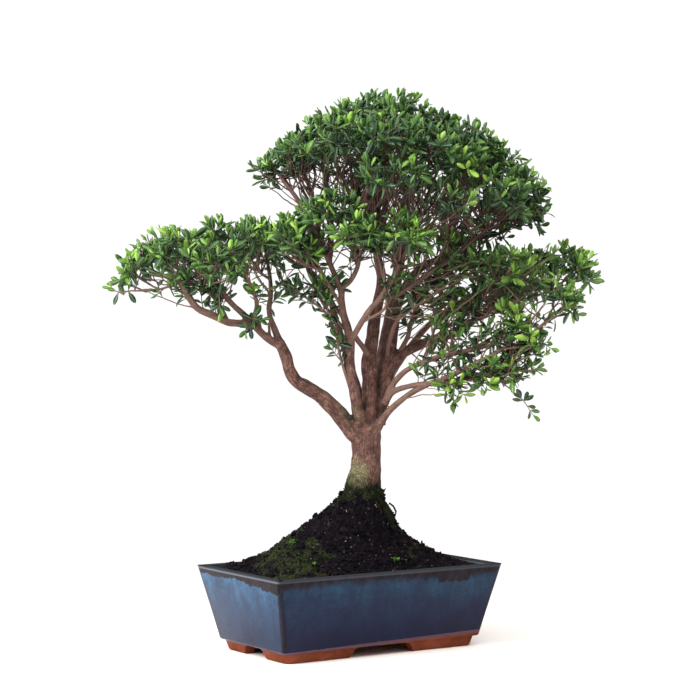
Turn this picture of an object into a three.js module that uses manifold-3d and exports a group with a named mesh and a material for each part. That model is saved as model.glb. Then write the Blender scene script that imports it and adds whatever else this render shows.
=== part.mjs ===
// Myrtle bonsai: a small evergreen tree on a mound of soil in a glazed rectangular pot.
// Units are millimetres and +Z is up. The pot's long side lies along X.
import * as THREE from "three";
import { mergeVertices } from "three/addons/utils/BufferGeometryUtils.js";
import Module from "manifold-3d";

const wasm = await Module();
wasm.setup();

// Driving dimensions of the pot
const RIM_LENGTH = 310;
const RIM_DEPTH = 186;
const RIM_HEIGHT = 98;
const SIDE_SLOPE = 19.5; // how far each side leans in from the rim to the underside
const FOOT_HEIGHT = 12;
const WALL = 11;
const FLOOR = 8;
const RIM_CORNER = 5;
const FOOT_BAND = 15;
const LONG_SIDE_ARCH = 82;
const SHORT_SIDE_ARCH = 42;
const DRAIN_HOLE = 15;
const DRAIN_SPACING = 120;
const RIM_ROUNDING = 3; // the rim's outer edge is softened by this much
const RIM_THROAT = 2.5; // and its inner edge by this much
const UNDERSIDE_ROUNDING = 2.5;
const FLOOR_FILLET = 4;
const FOOT_INSET = 3; // how far the feet stand in from the underside's edge
const FOOT_TAPER = 2.5;

// Driving dimensions of the tree
const VIEW_TURN = (33.2 * Math.PI) / 180; // the tree's front is turned this far from the pot's
const CLEARANCE = 0.3; // air between pieces that touch in the real object
const TRIM_GAP = 0.8; // air between two sprays, and between a spray and the branches
const FINEST = 0.1; // anything smaller is left out of a solid
const ROOTED = 3; // how deep a bearing twig starts inside its limb
const TWIG_WIDTH = 2.6;
const TWIG_TAPER = 1; // how much wider a bearing twig starts than it ends
const TWIG_BEND = 0.42; // where along its length a bearing twig turns up into its spray
const SPRAY_DROP = 24; // how far below a spray's middle its bearing twig's own end starts
const UPWARD_PULL = 0.6; // how far a spray turns from its pad's outside towards the light
const SPRAY_MIDDLE = [26, 23, 17]; // half sizes of a spray's dense middle, the last one outwards
const LEAF_ROOTS = [17, 16, 10]; // the leaves start this far out from the same middle
const LEAF_LENGTH = 25;
const LEAF_SUNK = 6; // the part of a leaf that lies within the dense middle
const LEAF_WIDTH = 8.4;
const LEAF_THICKNESS = 1.3;
const LEAVES_PER_SPRAY = 6;
const LEAVES_PER_SMALL_SPRAY = 4;
const SMALL_SPRAY = 0.9; // sprays below this size are small ones
const LEAF_TRIES = 8; // directions that a leaf may try to find free room

// One value between 0 and 1 for each seed, the same on every run
function chance(seed) {
  const value = Math.sin(seed * 12.9898 + 4.1414) * 43758.5453;
  return value - Math.floor(value);
}

function spread(seed, size) {
  return (chance(seed) - 0.5) * 2 * size;
}

// A closed solid from a geometry, by its positions alone
function solidOf(geometry) {
  const bare = new THREE.BufferGeometry();
  bare.setAttribute("position", geometry.getAttribute("position"));
  if (geometry.index) bare.setIndex(geometry.index);
  const merged = mergeVertices(bare, 1e-3);
  return new wasm.Manifold(
    new wasm.Mesh({
      numProp: 3,
      vertProperties: new Float32Array(merged.attributes.position.array),
      triVerts: new Uint32Array(merged.index.array),
    }),
  );
}

function joined(solids) {
  return solids.reduce((whole, piece) => whole.add(piece));
}

// The main body of a solid, without slivers too fine to see
function largestBody(solid) {
  return solid.simplify(FINEST).decompose().sort((a, b) => b.volume() - a.volume())[0];
}

function geometryOf(solid) {
  const mesh = solid.getMesh();
  const positions = new Float32Array(mesh.numVert * 3);
  for (let i = 0; i < mesh.numVert; i++) {
    const first = i * mesh.numProp;
    positions.set(mesh.vertProperties.subarray(first, first + 3), i * 3);
  }
  const geometry = new THREE.BufferGeometry();
  geometry.setAttribute("position", new THREE.BufferAttribute(positions, 3));
  geometry.setIndex(new THREE.BufferAttribute(new Uint32Array(mesh.triVerts), 1));
  return geometry;
}

// Every vertex of a geometry moved by a rule
function reshaped(geometry, rule) {
  const position = geometry.getAttribute("position");
  const point = new THREE.Vector3();
  for (let i = 0; i < position.count; i++) {
    point.fromBufferAttribute(position, i);
    rule(point);
    position.setXYZ(i, point.x, point.y, point.z);
  }
  return geometry;
}

// A point of the tree's own frame (right, away, up, as seen from its front) in the pot's frame
function placed(right, away, up) {
  return new THREE.Vector3(
    right * Math.cos(VIEW_TURN) + away * Math.sin(VIEW_TURN),
    away * Math.cos(VIEW_TURN) - right * Math.sin(VIEW_TURN),
    up,
  );
}

// The pot: slab-built stoneware walls that lean out, over four corner feet

const HALF_LENGTH = RIM_LENGTH / 2;
const HALF_DEPTH = RIM_DEPTH / 2;
const INNER_CORNER = RIM_CORNER + 4;
const OVERCUT = 1; // a cut reaches this far past the surface that it opens
const ARCH_FLARE = 5;
const ARCH_ROUNDING = 3;
const CORNER_FACETS = 2;
const DRAIN_SIDES = 12;

function roundedRectangle(halfLength, halfDepth, corner) {
  const shape = new THREE.Shape();
  shape.moveTo(-halfLength + corner, -halfDepth);
  shape.lineTo(halfLength - corner, -halfDepth);
  shape.absarc(halfLength - corner, -halfDepth + corner, corner, -Math.PI / 2, 0, false);
  shape.lineTo(halfLength, halfDepth - corner);
  shape.absarc(halfLength - corner, halfDepth - corner, corner, 0, Math.PI / 2, false);
  shape.lineTo(-halfLength + corner, halfDepth);
  shape.absarc(-halfLength + corner, halfDepth - corner, corner, Math.PI / 2, Math.PI, false);
  shape.lineTo(-halfLength, -halfDepth + corner);
  shape.absarc(-halfLength + corner, -halfDepth + corner, corner, Math.PI, 1.5 * Math.PI, false);
  return shape;
}

// Stacked outlines: each level is [height, inset from the rim's outline]
function stacked(levels, corner) {
  const geometry = new THREE.ExtrudeGeometry(roundedRectangle(HALF_LENGTH, HALF_DEPTH, corner), {
    depth: levels.length - 1,
    steps: levels.length - 1,
    curveSegments: CORNER_FACETS,
    bevelEnabled: false,
  });
  return solidOf(
    reshaped(geometry, (point) => {
      const [height, inset] = levels[Math.round(point.z)];
      point.x *= (HALF_LENGTH - inset) / HALF_LENGTH;
      point.y *= (HALF_DEPTH - inset) / HALF_DEPTH;
      point.z = height;
    }),
  );
}

// How far the outer face stands in from the rim's outline at a height
function slopeInset(height) {
  return (SIDE_SLOPE * (RIM_HEIGHT - height)) / (RIM_HEIGHT - FOOT_HEIGHT);
}

function potSolid() {
  const outer = stacked(
    [
      [FOOT_HEIGHT, SIDE_SLOPE + UNDERSIDE_ROUNDING],
      [FOOT_HEIGHT + UNDERSIDE_ROUNDING, slopeInset(FOOT_HEIGHT + UNDERSIDE_ROUNDING)],
      [RIM_HEIGHT - RIM_ROUNDING, 0],
      [RIM_HEIGHT, RIM_ROUNDING],
    ],
    RIM_CORNER,
  );
  const floorTop = FOOT_HEIGHT + FLOOR;
  const cavity = stacked(
    [
      [floorTop, slopeInset(floorTop) + WALL + FLOOR_FILLET],
      [floorTop + FLOOR_FILLET, slopeInset(floorTop + FLOOR_FILLET) + WALL],
      [RIM_HEIGHT - RIM_ROUNDING, WALL],
      [RIM_HEIGHT + OVERCUT, WALL - RIM_THROAT],
    ],
    INNER_CORNER,
  );
  const footTop = SIDE_SLOPE + FOOT_INSET;
  const footSole = footTop + FOOT_TAPER;
  const footBlock = stacked([[0, footSole], [FOOT_HEIGHT + OVERCUT, footTop]], RIM_CORNER);
  const footInside = stacked(
    [[-OVERCUT, footSole + FOOT_BAND], [FOOT_HEIGHT, footTop + FOOT_BAND]],
    RIM_CORNER,
  );
  const feet = [arch(LONG_SIDE_ARCH, RIM_DEPTH, 0), arch(SHORT_SIDE_ARCH, RIM_LENGTH, Math.PI / 2)]
    .reduce((whole, cut) => whole.subtract(cut), footBlock.subtract(footInside));
  const drains = [-1, 1].map((side) => {
    const drain = new THREE.CylinderGeometry(DRAIN_HOLE / 2, DRAIN_HOLE / 2, FLOOR * 3, DRAIN_SIDES);
    drain.rotateX(Math.PI / 2);
    drain.translate((side * DRAIN_SPACING) / 2, 0, FOOT_HEIGHT + FLOOR / 2);
    return solidOf(drain);
  });
  return outer.add(feet).subtract(cavity).subtract(joined(drains));
}

// The opening between two feet, wider at the table, cut right across under the pot
function arch(width, across, turn) {
  const table = width / 2 + ARCH_FLARE;
  const shoulder = width / 2 - ARCH_ROUNDING / 2;
  const crown = shoulder - 2 * ARCH_ROUNDING;
  const shape = new THREE.Shape();
  shape.moveTo(-table, -OVERCUT);
  shape.lineTo(table, -OVERCUT);
  shape.lineTo(shoulder, FOOT_HEIGHT - ARCH_ROUNDING);
  shape.lineTo(crown, FOOT_HEIGHT);
  shape.lineTo(-crown, FOOT_HEIGHT);
  shape.lineTo(-shoulder, FOOT_HEIGHT - ARCH_ROUNDING);
  shape.closePath();
  const cut = new THREE.ExtrudeGeometry(shape, { depth: across, steps: 1, bevelEnabled: false });
  cut.rotateX(Math.PI / 2);
  cut.translate(0, across / 2, 0);
  cut.rotateZ(turn);
  return solidOf(cut);
}

// The soil: it fills the pot and rises in a steep mound to the foot of the trunk

const TRUNK_RIGHT = 17; // the trunk stands this far to the right of the pot's centre
const SOIL_EDGE = 93; // height of the soil along the rim

// Heights of the mound, with its two half-widths and how far to the right its middle lies
const MOUND = [
  [SOIL_EDGE, 142.5, 80.5, 0],
  [102, 134, 78, 0],
  [114, 104, 65, -2],
  [126, 80, 56, -6],
  [140, 62, 49, -3],
  [154, 47, 42, 7],
  [167, 33, 31, 10],
  [181, 26, 25, 15],
  [187, 20, 20, TRUNK_RIGHT],
];
const ROUNDING = [0.1, 0.5, 1, 1, 1, 1, 1, 1, 1]; // from the pot's outline to an oval
const MOUND_SIDES = 20;
const MOUND_ROOT = { halfLength: 138, halfDepth: 76, depth: 12 }; // its hidden base in the filling
const LUMPS = 1.6; // how uneven the mound is

function soilSolid() {
  const inside = (height) => slopeInset(height) + WALL + CLEARANCE;
  const floorTop = FOOT_HEIGHT + FLOOR;
  const filling = stacked(
    [
      [floorTop + CLEARANCE, inside(floorTop) + FLOOR_FILLET],
      [floorTop + FLOOR_FILLET, inside(floorTop + FLOOR_FILLET)],
      [SOIL_EDGE - OVERCUT, inside(SOIL_EDGE - OVERCUT)],
    ],
    INNER_CORNER,
  );
  const wall = new THREE.CylinderGeometry(1, 1, 1, MOUND_SIDES, MOUND.length, false);
  wall.rotateX(Math.PI / 2);
  const mound = reshaped(wall, (point) => {
    const level = Math.round((point.z + 0.5) * MOUND.length);
    const radius = Math.hypot(point.x, point.y);
    if (level === 0) {
      point.x *= MOUND_ROOT.halfLength;
      point.y *= MOUND_ROOT.halfDepth;
      point.z = SOIL_EDGE - MOUND_ROOT.depth;
      return;
    }
    const [height, halfLength, halfDepth, right] = MOUND[level - 1];
    const angle = Math.atan2(point.y, point.x);
    const oval = new THREE.Vector2(Math.cos(angle) * halfLength, Math.sin(angle) * halfDepth);
    const reach = Math.min(
      halfLength / Math.max(Math.abs(Math.cos(angle)), 1e-6),
      halfDepth / Math.max(Math.abs(Math.sin(angle)), 1e-6),
    );
    const box = new THREE.Vector2(Math.cos(angle) * reach, Math.sin(angle) * reach);
    const outline = box.lerp(oval, ROUNDING[level - 1]);
    const place = Math.round((angle / Math.PI) * (MOUND_SIDES / 2) + MOUND_SIDES);
    const seed = level * MOUND_SIDES + place;
    const uneven = level === 1 ? 0 : spread(seed, LUMPS);
    const centre = placed(right, 0, 0);
    point.x = outline.x * radius + centre.x + uneven * radius * Math.cos(angle);
    point.y = outline.y * radius + centre.y + uneven * radius * Math.sin(angle);
    point.z = height + spread(seed + 0.5, 1) * radius;
  });
  return filling.add(solidOf(mound));
}

// The wood: one grown piece, from the foot in the soil to the bearing twigs

// A round stem bent along its points, each one [right, away, up, width]
function stem(points, sides, extra = 0) {
  const route = new THREE.CatmullRomCurve3(
    points.map(([right, away, up]) => placed(right, away, up)),
    false,
    "centripetal",
  );
  const rings = points.length - 1;
  const normal = new THREE.Vector3(0.3, 1, 0.2);
  const frames = points.map((point, i) => {
    const tangent = route.getTangent(i / rings);
    normal.addScaledVector(tangent, -normal.dot(tangent)).normalize();
    return {
      centre: route.getPoint(i / rings),
      across: normal.clone(),
      beside: tangent.clone().cross(normal),
      radius: point[3] / 2 + extra,
    };
  });
  const tube = new THREE.CylinderGeometry(1, 1, rings, sides, rings);
  reshaped(tube, (point) => {
    const frame = frames[Math.round(point.y + rings / 2)];
    const { x, z } = point;
    point.copy(frame.centre);
    point.addScaledVector(frame.across, z * frame.radius);
    point.addScaledVector(frame.beside, x * frame.radius);
  });
  return solidOf(tube);
}

// The foot, hidden in the soil up to 185, and the trunk to where it divides
const TRUNK = [
  [17, 0, 150, 50],
  [16, 0, 172, 51],
  [15, 0, 184, 47],
  [16, 0, 194, 40.5],
  [18, 0, 207, 37],
  [19, 0, 229, 33.5],
  [19, 0, 247, 35],
  [20, 0, 264, 33],
];

// Surface roots that swell from the foot and run down into the mound
const ROOTS = [
  [[17, 0, 190, 22], [33, -12, 174, 15], [44, -18, 158, 10], [52, -22, 140, 6]],
  [[17, 0, 190, 22], [-4, -14, 176, 14], [-18, -20, 158, 10], [-30, -26, 142, 6]],
  [[17, 0, 190, 22], [20, 20, 176, 14], [22, 34, 158, 10], [24, 44, 142, 6]],
];

const LIMBS = {
  // the low left limb, with its elbow
  leftLimb: [
    [15, -2, 242, 28], [0, -4, 258, 23.5], [-15, -9, 277, 19.5], [-33, -15, 295, 17.5],
    [-49, -20, 306, 16.5], [-62, -24, 314, 15.5], [-70, -28, 327, 14.5], [-75, -31, 345, 14],
    [-82, -33, 360, 12.5],
  ],
  // its upright fork
  leftForkUp: [
    [-80, -32, 355, 10.5], [-86, -30, 371, 8.5], [-94, -24, 394, 6.5], [-92, -18, 418, 5.5],
    [-97, -10, 457, 4], [-102, -6, 478, 3],
  ],
  leftForkUpSide: [[-94, -15, 433, 3.5], [-105, -22, 441, 3.2], [-119, -34, 464, 2.4]],
  // its outward fork
  leftForkOut: [
    [-81, -33, 356, 10.5], [-95, -38, 364, 9.5], [-120, -48, 389, 8], [-141, -55, 410, 6.5],
    [-158, -57, 437, 5], [-172, -54, 452, 3.8],
  ],
  // the lowest branch of the left pad
  leftLow: [
    [-108, -44, 378, 8], [-121, -50, 381, 8], [-140, -58, 383, 8], [-157, -64, 391, 7.2],
    [-174, -68, 399, 6.8], [-184, -71, 412, 6.5], [-194, -73, 428, 5.2], [-208, -70, 443, 3.8],
  ],
  leftLowBack: [
    [-140, -56, 383, 5.2], [-151, -40, 403, 4.6], [-167, -15, 420, 4.2], [-182, 15, 441, 3.4],
  ],
  // the long twig to the furthest left
  leftTip: [
    [-148, -60, 388, 5], [-156, -60, 414, 5], [-172, -62, 423, 4.6], [-191, -64, 428, 3.4],
    [-221, -60, 420, 2.5], [-250, -57, 419, 2],
  ],
  leftRise: [[-113, -46, 383, 5.8], [-107, -50, 402, 5.3], [-118, -78, 437, 3.4]],
  // the left one of the upright stems
  stemLeft: [
    [13, -5, 256, 21], [9, -12, 278, 16.5], [6, -15, 296, 15], [2, -19, 318, 14],
    [-1, -23, 339, 14], [0, -27, 360, 13],
  ],
  stemLeftUp: [[0, -27, 357, 11.5], [-3, -31, 376, 10], [-9, -36, 399, 8.6], [-10, -40, 427, 7.6]],
  stemLeftFork: [
    [-12, -40, 422, 7], [-1, -44, 429, 6.2], [10, -54, 454, 4.6], [2, -62, 470, 4],
    [-6, -74, 490, 3],
  ],
  // the bare branch that rises to the crown's left edge
  crownLeft: [
    [-10, -38, 418, 7.4], [-20, -46, 443, 7], [-32, -52, 469, 6.4], [-45, -52, 493, 5.8],
    [-56, -46, 517, 5.4], [-69, -38, 536, 5], [-81, -30, 551, 3.8],
  ],
  crownLeftInner: [[-29, -50, 464, 5], [-36, -46, 491, 4.8], [-47, -34, 538, 4.4], [-56, -28, 559, 3.2]],
  crownLeftStem: [
    [-24, -48, 452, 7.4], [-22, -40, 482, 7.6], [-23, -32, 510, 7.4], [-27, -26, 538, 7],
    [-35, -20, 585, 3],
  ],
  // the branch that crosses in front of the stems
  crossing: [
    [1, -30, 360, 7.4], [9, -40, 375, 7.4], [22, -50, 396, 7.4], [36, -56, 412, 7],
    [57, -66, 450, 5.5], [69, -84, 481, 3],
  ],
  crossingTwig: [[14, -44, 383, 4.2], [40, -56, 399, 3.2], [41, -60, 418, 2.8], [29, -84, 470, 2.2]],
  // the thin bare branch left of the stems
  hangTwig: [
    [0, -18, 306, 4], [-12, -30, 345, 3.2], [-16, -36, 367, 3], [-28, -42, 393, 2.8],
    [-62, -42, 418, 2.4], [-84, -32, 428, 2.4],
  ],
  // the fan of thin branches towards the left pad
  fanOne: [[-2, -29, 370, 4.2], [-30, -36, 403, 3.8], [-42, -34, 427, 3.5], [-58, -26, 471, 2.6]],
  fanTwo: [[-5, -30, 383, 4.2], [-19, -24, 404, 4], [-40, 2, 453, 3.5], [-51, 16, 472, 2.6]],
  fanThree: [[-9, -34, 399, 4], [-35, -60, 445, 3.4], [-52, -76, 474, 2.4]],
  // the middle stem, up into the crown
  stemMiddle: [
    [21, 0, 258, 23.5], [22, 2, 289, 20.5], [21, 4, 317, 20], [21, 5, 336, 20],
    [26, 8, 361, 15.5], [29, 11, 387, 14.5], [35, 14, 415, 12.5], [37, 16, 439, 11.5],
    [32, 18, 463, 10], [35, 20, 491, 8], [43, 22, 526, 6.5], [46, 22, 559, 5], [46, 20, 590, 3.4],
  ],
  stemLink: [[22, 4, 341, 7.5], [14, -10, 355, 7], [5, -24, 367, 6.5]],
  crownFrontLeft: [[33, 16, 458, 6], [19, 0, 486, 5.2], [8, -20, 515, 5], [0, -55, 565, 3]],
  crownMiddleFront: [[35, 18, 491, 5.2], [26, -6, 516, 4.7], [32, -60, 564, 3]],
  crownBackLeft: [[32, 20, 467, 6], [17, 44, 496, 5], [2, 62, 528, 4.2], [-12, 72, 562, 3]],
  crownTop: [[43, 22, 524, 5.2], [52, 18, 559, 4.5], [63, 10, 610, 2.8]],
  // the right one of the upright stems
  stemRight: [
    [33, 5, 262, 18], [38, 10, 295, 14.7], [41, 15, 323, 15.3], [47, 19, 349, 14.6],
    [51, 24, 375, 13.5], [56, 28, 404, 12], [65, 32, 424, 10.7], [83, 36, 445, 9.5],
    [107, 38, 459, 8], [126, 40, 476, 7], [138, 40, 499, 5.8], [152, 34, 558, 3.2],
  ],
  crownStem: [
    [54, 27, 401, 7.6], [58, 24, 432, 7.3], [63, 20, 463, 7], [66, 16, 493, 6], [69, 8, 526, 5.2],
    [77, -2, 584, 3],
  ],
  crownStemSide: [[66, 16, 493, 5], [82, 2, 514, 4.5], [103, -40, 561, 3]],
  crownRightUp: [[126, 38, 476, 5], [118, 4, 530, 4], [114, -12, 584, 2.8]],
  crownRightOut: [[143, 38, 515, 4.5], [182, 22, 531, 3.5], [200, 14, 545, 2.8]],
  // the branch along the crown's lower right edge
  crownRightLow: [[114, 38, 463, 6], [135, 28, 476, 5.5], [179, 2, 488, 4], [196, -6, 500, 3]],
  crownRightBack: [[107, 38, 459, 5.7], [120, 62, 485, 4.8], [148, 92, 544, 3]],
  // a branch in front that rakes to the upper right
  raking: [
    [43, 15, 340, 5.4], [48, -3, 367, 5.6], [61, -10, 393, 5.1], [98, -16, 429, 4.4],
    [140, -18, 456, 3],
  ],
  rakingUpper: [
    [35, -55, 411, 5.5], [50, -50, 413, 6], [76, -38, 428, 6], [97, -32, 443, 5.6], [118, -32, 457, 4.6],
    [158, -52, 491, 3],
  ],
  // the heavy right limb
  rightLimb: [
    [40, 8, 293, 16.5], [46, 14, 321, 15.3], [59, 20, 343, 13.5], [76, 25, 352, 12],
    [99, 31, 361, 11.5], [125, 37, 370, 11.2], [148, 42, 384, 9], [174, 46, 402, 7.4],
    [203, 46, 417, 5.7], [232, 40, 433, 3.8],
  ],
  rightLimbFork: [[58, 18, 346, 6], [68, 14, 365, 6], [74, 16, 389, 4.7], [93, 32, 427, 2.8]],
  rightLimbUp: [[125, 36, 370, 5.2], [138, 44, 392, 4.5], [175, 62, 430, 3]],
  rightLimbRise: [[98, 30, 361, 5.5], [113, 12, 375, 4.5], [156, -12, 408, 3.5], [179, -18, 427, 2.8]],
  rightLimbEnd: [[174, 46, 402, 5], [197, 28, 406, 4.3], [238, -2, 420, 2.6]],
  // the three low right branches
  rightUpper: [
    [41, -5, 287, 9.4], [48, -10, 306, 7.7], [63, -16, 324, 6.8], [90, -24, 338, 6.5],
    [118, -30, 346, 6], [146, -34, 352, 5], [173, -38, 359, 3.6],
  ],
  rightMiddle: [
    [40, -8, 287, 9.4], [50, -14, 301, 7.2], [69, -20, 308, 6.5], [102, -30, 314, 7],
    [127, -38, 326, 5.8], [150, -42, 338, 4.6], [178, -44, 353, 3.7], [201, -42, 374, 2.8],
  ],
  rightLow: [
    [24, -3, 244, 13], [33, -6, 260, 11.7], [43, -10, 275, 8.4], [63, -16, 294, 7.2], [91, -26, 311, 7],
    [122, -32, 315, 5.8], [155, -38, 321, 5], [173, -40, 330, 4.5], [187, -42, 348, 4.3],
    [208, -42, 368, 3.7], [229, -40, 386, 3],
  ],
  rightLowTuft: [[155, -38, 321, 3.2], [182, -40, 314, 2.4]],
  // three limbs behind
  backLeft: [
    [18, 8, 260, 14], [12, 22, 290, 12], [0, 42, 330, 10], [-14, 60, 375, 8.4],
    [-28, 72, 416, 7], [-70, 82, 471, 4],
  ],
  backMiddle: [
    [25, 10, 269, 13], [30, 28, 304, 11], [39, 52, 356, 9.6], [48, 70, 403, 8],
    [56, 84, 452, 6.5], [63, 92, 498, 5], [67, 94, 539, 3.4],
  ],
  backRight: [
    [33, 12, 286, 12], [47, 30, 316, 10], [69, 50, 349, 8.4], [96, 66, 379, 6.7],
    [128, 78, 403, 5.3], [160, 84, 420, 3.6],
  ],
  backCrown: [[56, 84, 452, 5.3], [34, 94, 486, 4.6], [0, 96, 549, 2.8]],
};

// Stout stems get more sides than slim ones: [narrowest width, sides]
const STEM_SIDES = [[12, 6], [8, 5], [4.2, 4], [0, 3]];
const TRUNK_SIDES = 11;
const ROOT_SIDES = 5;
const TWIG_SIDES = 3;

function sidesFor(width) {
  return STEM_SIDES.find(([narrowest]) => width >= narrowest)[1];
}

// The trunk with the roots that show
function footSolid(extra) {
  return joined([stem(TRUNK, TRUNK_SIDES, extra), ...ROOTS.map((root) => stem(root, ROOT_SIDES, extra))]);
}

function limbsSolid(extra) {
  const pieces = Object.values(LIMBS).map((points) => stem(points, sidesFor(points[0][3]), extra));
  return joined([footSolid(extra), ...pieces]);
}

// Leafy sprays: a bearing twig, a dense leafless middle and the leaves that stand out of it

// Where each spray's middle sits, as [right, away, up, size]
const SPRAYS = {
  crown: [
    [-84, -12, 556, 0.9], [-56, 12, 586, 1], [-20, -28, 603, 1], [20, 14, 625, 1],
    [58, -18, 620, 1], [98, 20, 608, 1], [136, -14, 592, 1], [170, 16, 569, 1],
    [200, -10, 540, 1], [208, 26, 504, 0.9],
    [-48, -60, 564, 1], [-6, -84, 587, 1], [42, -94, 592, 1], [88, -86, 583, 1],
    [130, -74, 560, 1], [174, -60, 528, 1], [46, -118, 542, 1], [112, -102, 514, 0.9],
    [-46, 64, 574, 1], [-4, 90, 598, 1], [46, 94, 604, 1], [96, 86, 592, 1],
    [142, 66, 566, 1], [180, 56, 524, 0.9], [34, 118, 544, 1], [112, 108, 522, 1],
  ],
  left: [
    [-250, -56, 438, 0.85], [-226, -18, 468, 0.95], [-194, -62, 468, 1], [-188, 24, 452, 0.9],
    [-152, -88, 452, 0.95], [-146, -20, 474, 1], [-142, 52, 456, 0.9], [-102, -52, 472, 0.95],
    [-104, 14, 476, 1], [-62, -78, 472, 0.85], [-58, 50, 478, 0.9],
  ],
  middle: [[-26, -84, 506, 1], [16, -100, 482, 0.85], [62, -104, 484, 0.8]],
  right: [
    [264, -6, 445, 0.9], [232, 36, 452, 0.9], [242, -40, 402, 0.85], [194, -22, 450, 0.95],
    [176, -66, 486, 0.8], [150, -34, 466, 0.9], [190, 84, 428, 0.9], [150, 60, 452, 0.9],
    [92, -46, 470, 0.75], [184, -40, 378, 0.8], [204, -40, 314, 0.8], [162, -42, 312, 0.75],
    [112, -22, 368, 0.7], [168, 12, 416, 0.8], [118, -40, 296, 0.75], [230, -48, 348, 0.75],
    [118, 66, 412, 0.8],
  ],
};

const PAD_CENTRES = {
  crown: [60, 8, 500],
  left: [-150, -15, 420],
  middle: [20, -40, 440],
  right: [150, 5, 390],
};

// Points along every limb where a bearing twig can start
const JOINTS = Object.values(LIMBS).flatMap((points) =>
  points.slice(1).map(([right, away, up, width], i) => {
    const at = new THREE.Vector3(right, away, up);
    const back = new THREE.Vector3(...points[i].slice(0, 3)).sub(at).normalize();
    return { at, width, root: at.clone().addScaledVector(back, ROOTED) };
  }),
);

function allSprays() {
  return Object.entries(SPRAYS).flatMap(([pad, list]) =>
    list.map(([right, away, up, size], i) => {
      const middle = new THREE.Vector3(right, away, up);
      const outward = middle.clone().sub(new THREE.Vector3(...PAD_CENTRES[pad])).normalize();
      outward.z += UPWARD_PULL;
      outward.normalize();
      const joint = cheapestJoint(middle);
      const lift = middle.clone().sub(joint.at).normalize().add(outward).normalize();
      const start = middle.clone().addScaledVector(lift, -SPRAY_DROP * size);
      const name = `${pad}_spray_${String(i + 1).padStart(2, "0")}`;
      return { name, middle, outward, size, joint, lift, start };
    }),
  );
}

// A twig rather starts close by, from below and from wood stouter than itself
const LEAST_RISE = 14;
const LEAST_REACH = 36;
const SHORTFALL_COST = 3;
const THIN_WOOD_COST = 20;

function reachCost(joint, middle) {
  const distance = joint.at.distanceTo(middle);
  const low = Math.max(LEAST_RISE - (middle.z - joint.at.z), 0);
  const close = Math.max(LEAST_REACH - distance, 0);
  const thin = joint.width < TWIG_WIDTH ? THIN_WOOD_COST : 0;
  return distance + (low + close) * SHORTFALL_COST + thin;
}

function cheapestJoint(middle) {
  const costs = JOINTS.map((joint) => reachCost(joint, middle));
  return JOINTS[costs.indexOf(Math.min(...costs))];
}

// The twig from the limb to just short of the spray
function bearingTwig(spray, extra) {
  const { joint, start, lift } = spray;
  const length = joint.at.distanceTo(start);
  const bend = start.clone().addScaledVector(lift, -TWIG_BEND * length);
  const width = Math.min(joint.width * 0.9, TWIG_WIDTH + TWIG_TAPER);
  return stem(
    [
      [...joint.root.toArray(), width],
      [...bend.toArray(), (width + TWIG_WIDTH) / 2],
      [...start.toArray(), TWIG_WIDTH],
    ],
    TWIG_SIDES,
    extra,
  );
}

// One blade along +X from its root: pointed at both ends, folded a little along its midrib
function bladeGeometry(length, width) {
  const half = width / 2;
  const widest = length * 0.46;
  const shoulder = length * 0.76;
  const points = [
    [0, 0, 0], [widest, -half, 0.4], [shoulder, -half * 0.72, 0.2],
    [length, 0, -1.2], [shoulder, half * 0.72, 0.2], [widest, half, 0.4],
    [length * 0.6, 0, LEAF_THICKNESS],
  ];
  const ridge = points.length - 1;
  const last = ridge - 1;
  const faces = [];
  for (let i = 0; i < ridge; i++) faces.push(i, (i + 1) % ridge, ridge);
  for (let i = 1; i < last; i++) faces.push(i, i - 1, last);
  const geometry = new THREE.BufferGeometry();
  geometry.setAttribute("position", new THREE.Float32BufferAttribute(points.flat(), 3));
  geometry.setIndex(faces);
  return geometry;
}

function turnedTo(direction, up) {
  const side = up.clone().cross(direction).normalize();
  const face = direction.clone().cross(side).normalize();
  return new THREE.Matrix4().makeBasis(direction, side, face);
}

// The spray's own axes: its third one points out of the pad
function sprayFrame(outward) {
  return turnedTo(new THREE.Vector3(1, 0.2, 0).addScaledVector(outward, -outward.x).normalize(), outward);
}

// Each face of a small ball drawn out to a point, so that it bristles like packed leaf tips
const VALLEY = 0.82;
const PEAK = 1.38;
const FLAT_BELOW = -0.9; // faces that look straight down stay flat

function spiked(ball, seed) {
  const uneven = (point) => {
    const [x, y, z] = point.toArray().map((value) => Math.round(value * 50));
    return point.multiplyScalar(VALLEY + spread(seed + x + y * 7 + z * 13, 0.14));
  };
  const position = ball.getAttribute("position");
  const corner = (i) => new THREE.Vector3().fromBufferAttribute(position, i);
  const points = [];
  for (let i = 0; i < position.count; i += 3) {
    const [a, b, c] = [corner(i), corner(i + 1), corner(i + 2)];
    const peak = a.clone().add(b).add(c).normalize().multiplyScalar(PEAK + spread(seed + i, 0.3));
    [a, b, c].forEach(uneven);
    if (peak.z < FLAT_BELOW) points.push(a, b, c);
    else points.push(a, b, peak, b, c, peak, c, a, peak);
  }
  return new THREE.BufferGeometry().setFromPoints(points);
}

function sprayHeart(spray, number) {
  const { middle, outward, size } = spray;
  const frame = sprayFrame(outward);
  const reach = new THREE.Vector3(...SPRAY_MIDDLE).multiplyScalar(size);
  const heart = spiked(new THREE.IcosahedronGeometry(1, 0), number * 97.3);
  reshaped(heart, (point) => {
    point.multiply(reach);
    point.applyMatrix4(frame).add(middle);
    point.copy(placed(point.x, point.y, point.z));
  });
  return solidOf(heart);
}

// The spray's own end of the bearing twig, up into its middle
function sprayTwig({ middle, lift, start }) {
  const foot = start.clone().addScaledVector(lift, CLEARANCE);
  return stem([[...foot.toArray(), TWIG_WIDTH], [...middle.toArray(), TWIG_WIDTH]], TWIG_SIDES);
}

function leafCount(spray) {
  return spray.size < SMALL_SPRAY ? LEAVES_PER_SMALL_SPRAY : LEAVES_PER_SPRAY;
}

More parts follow.
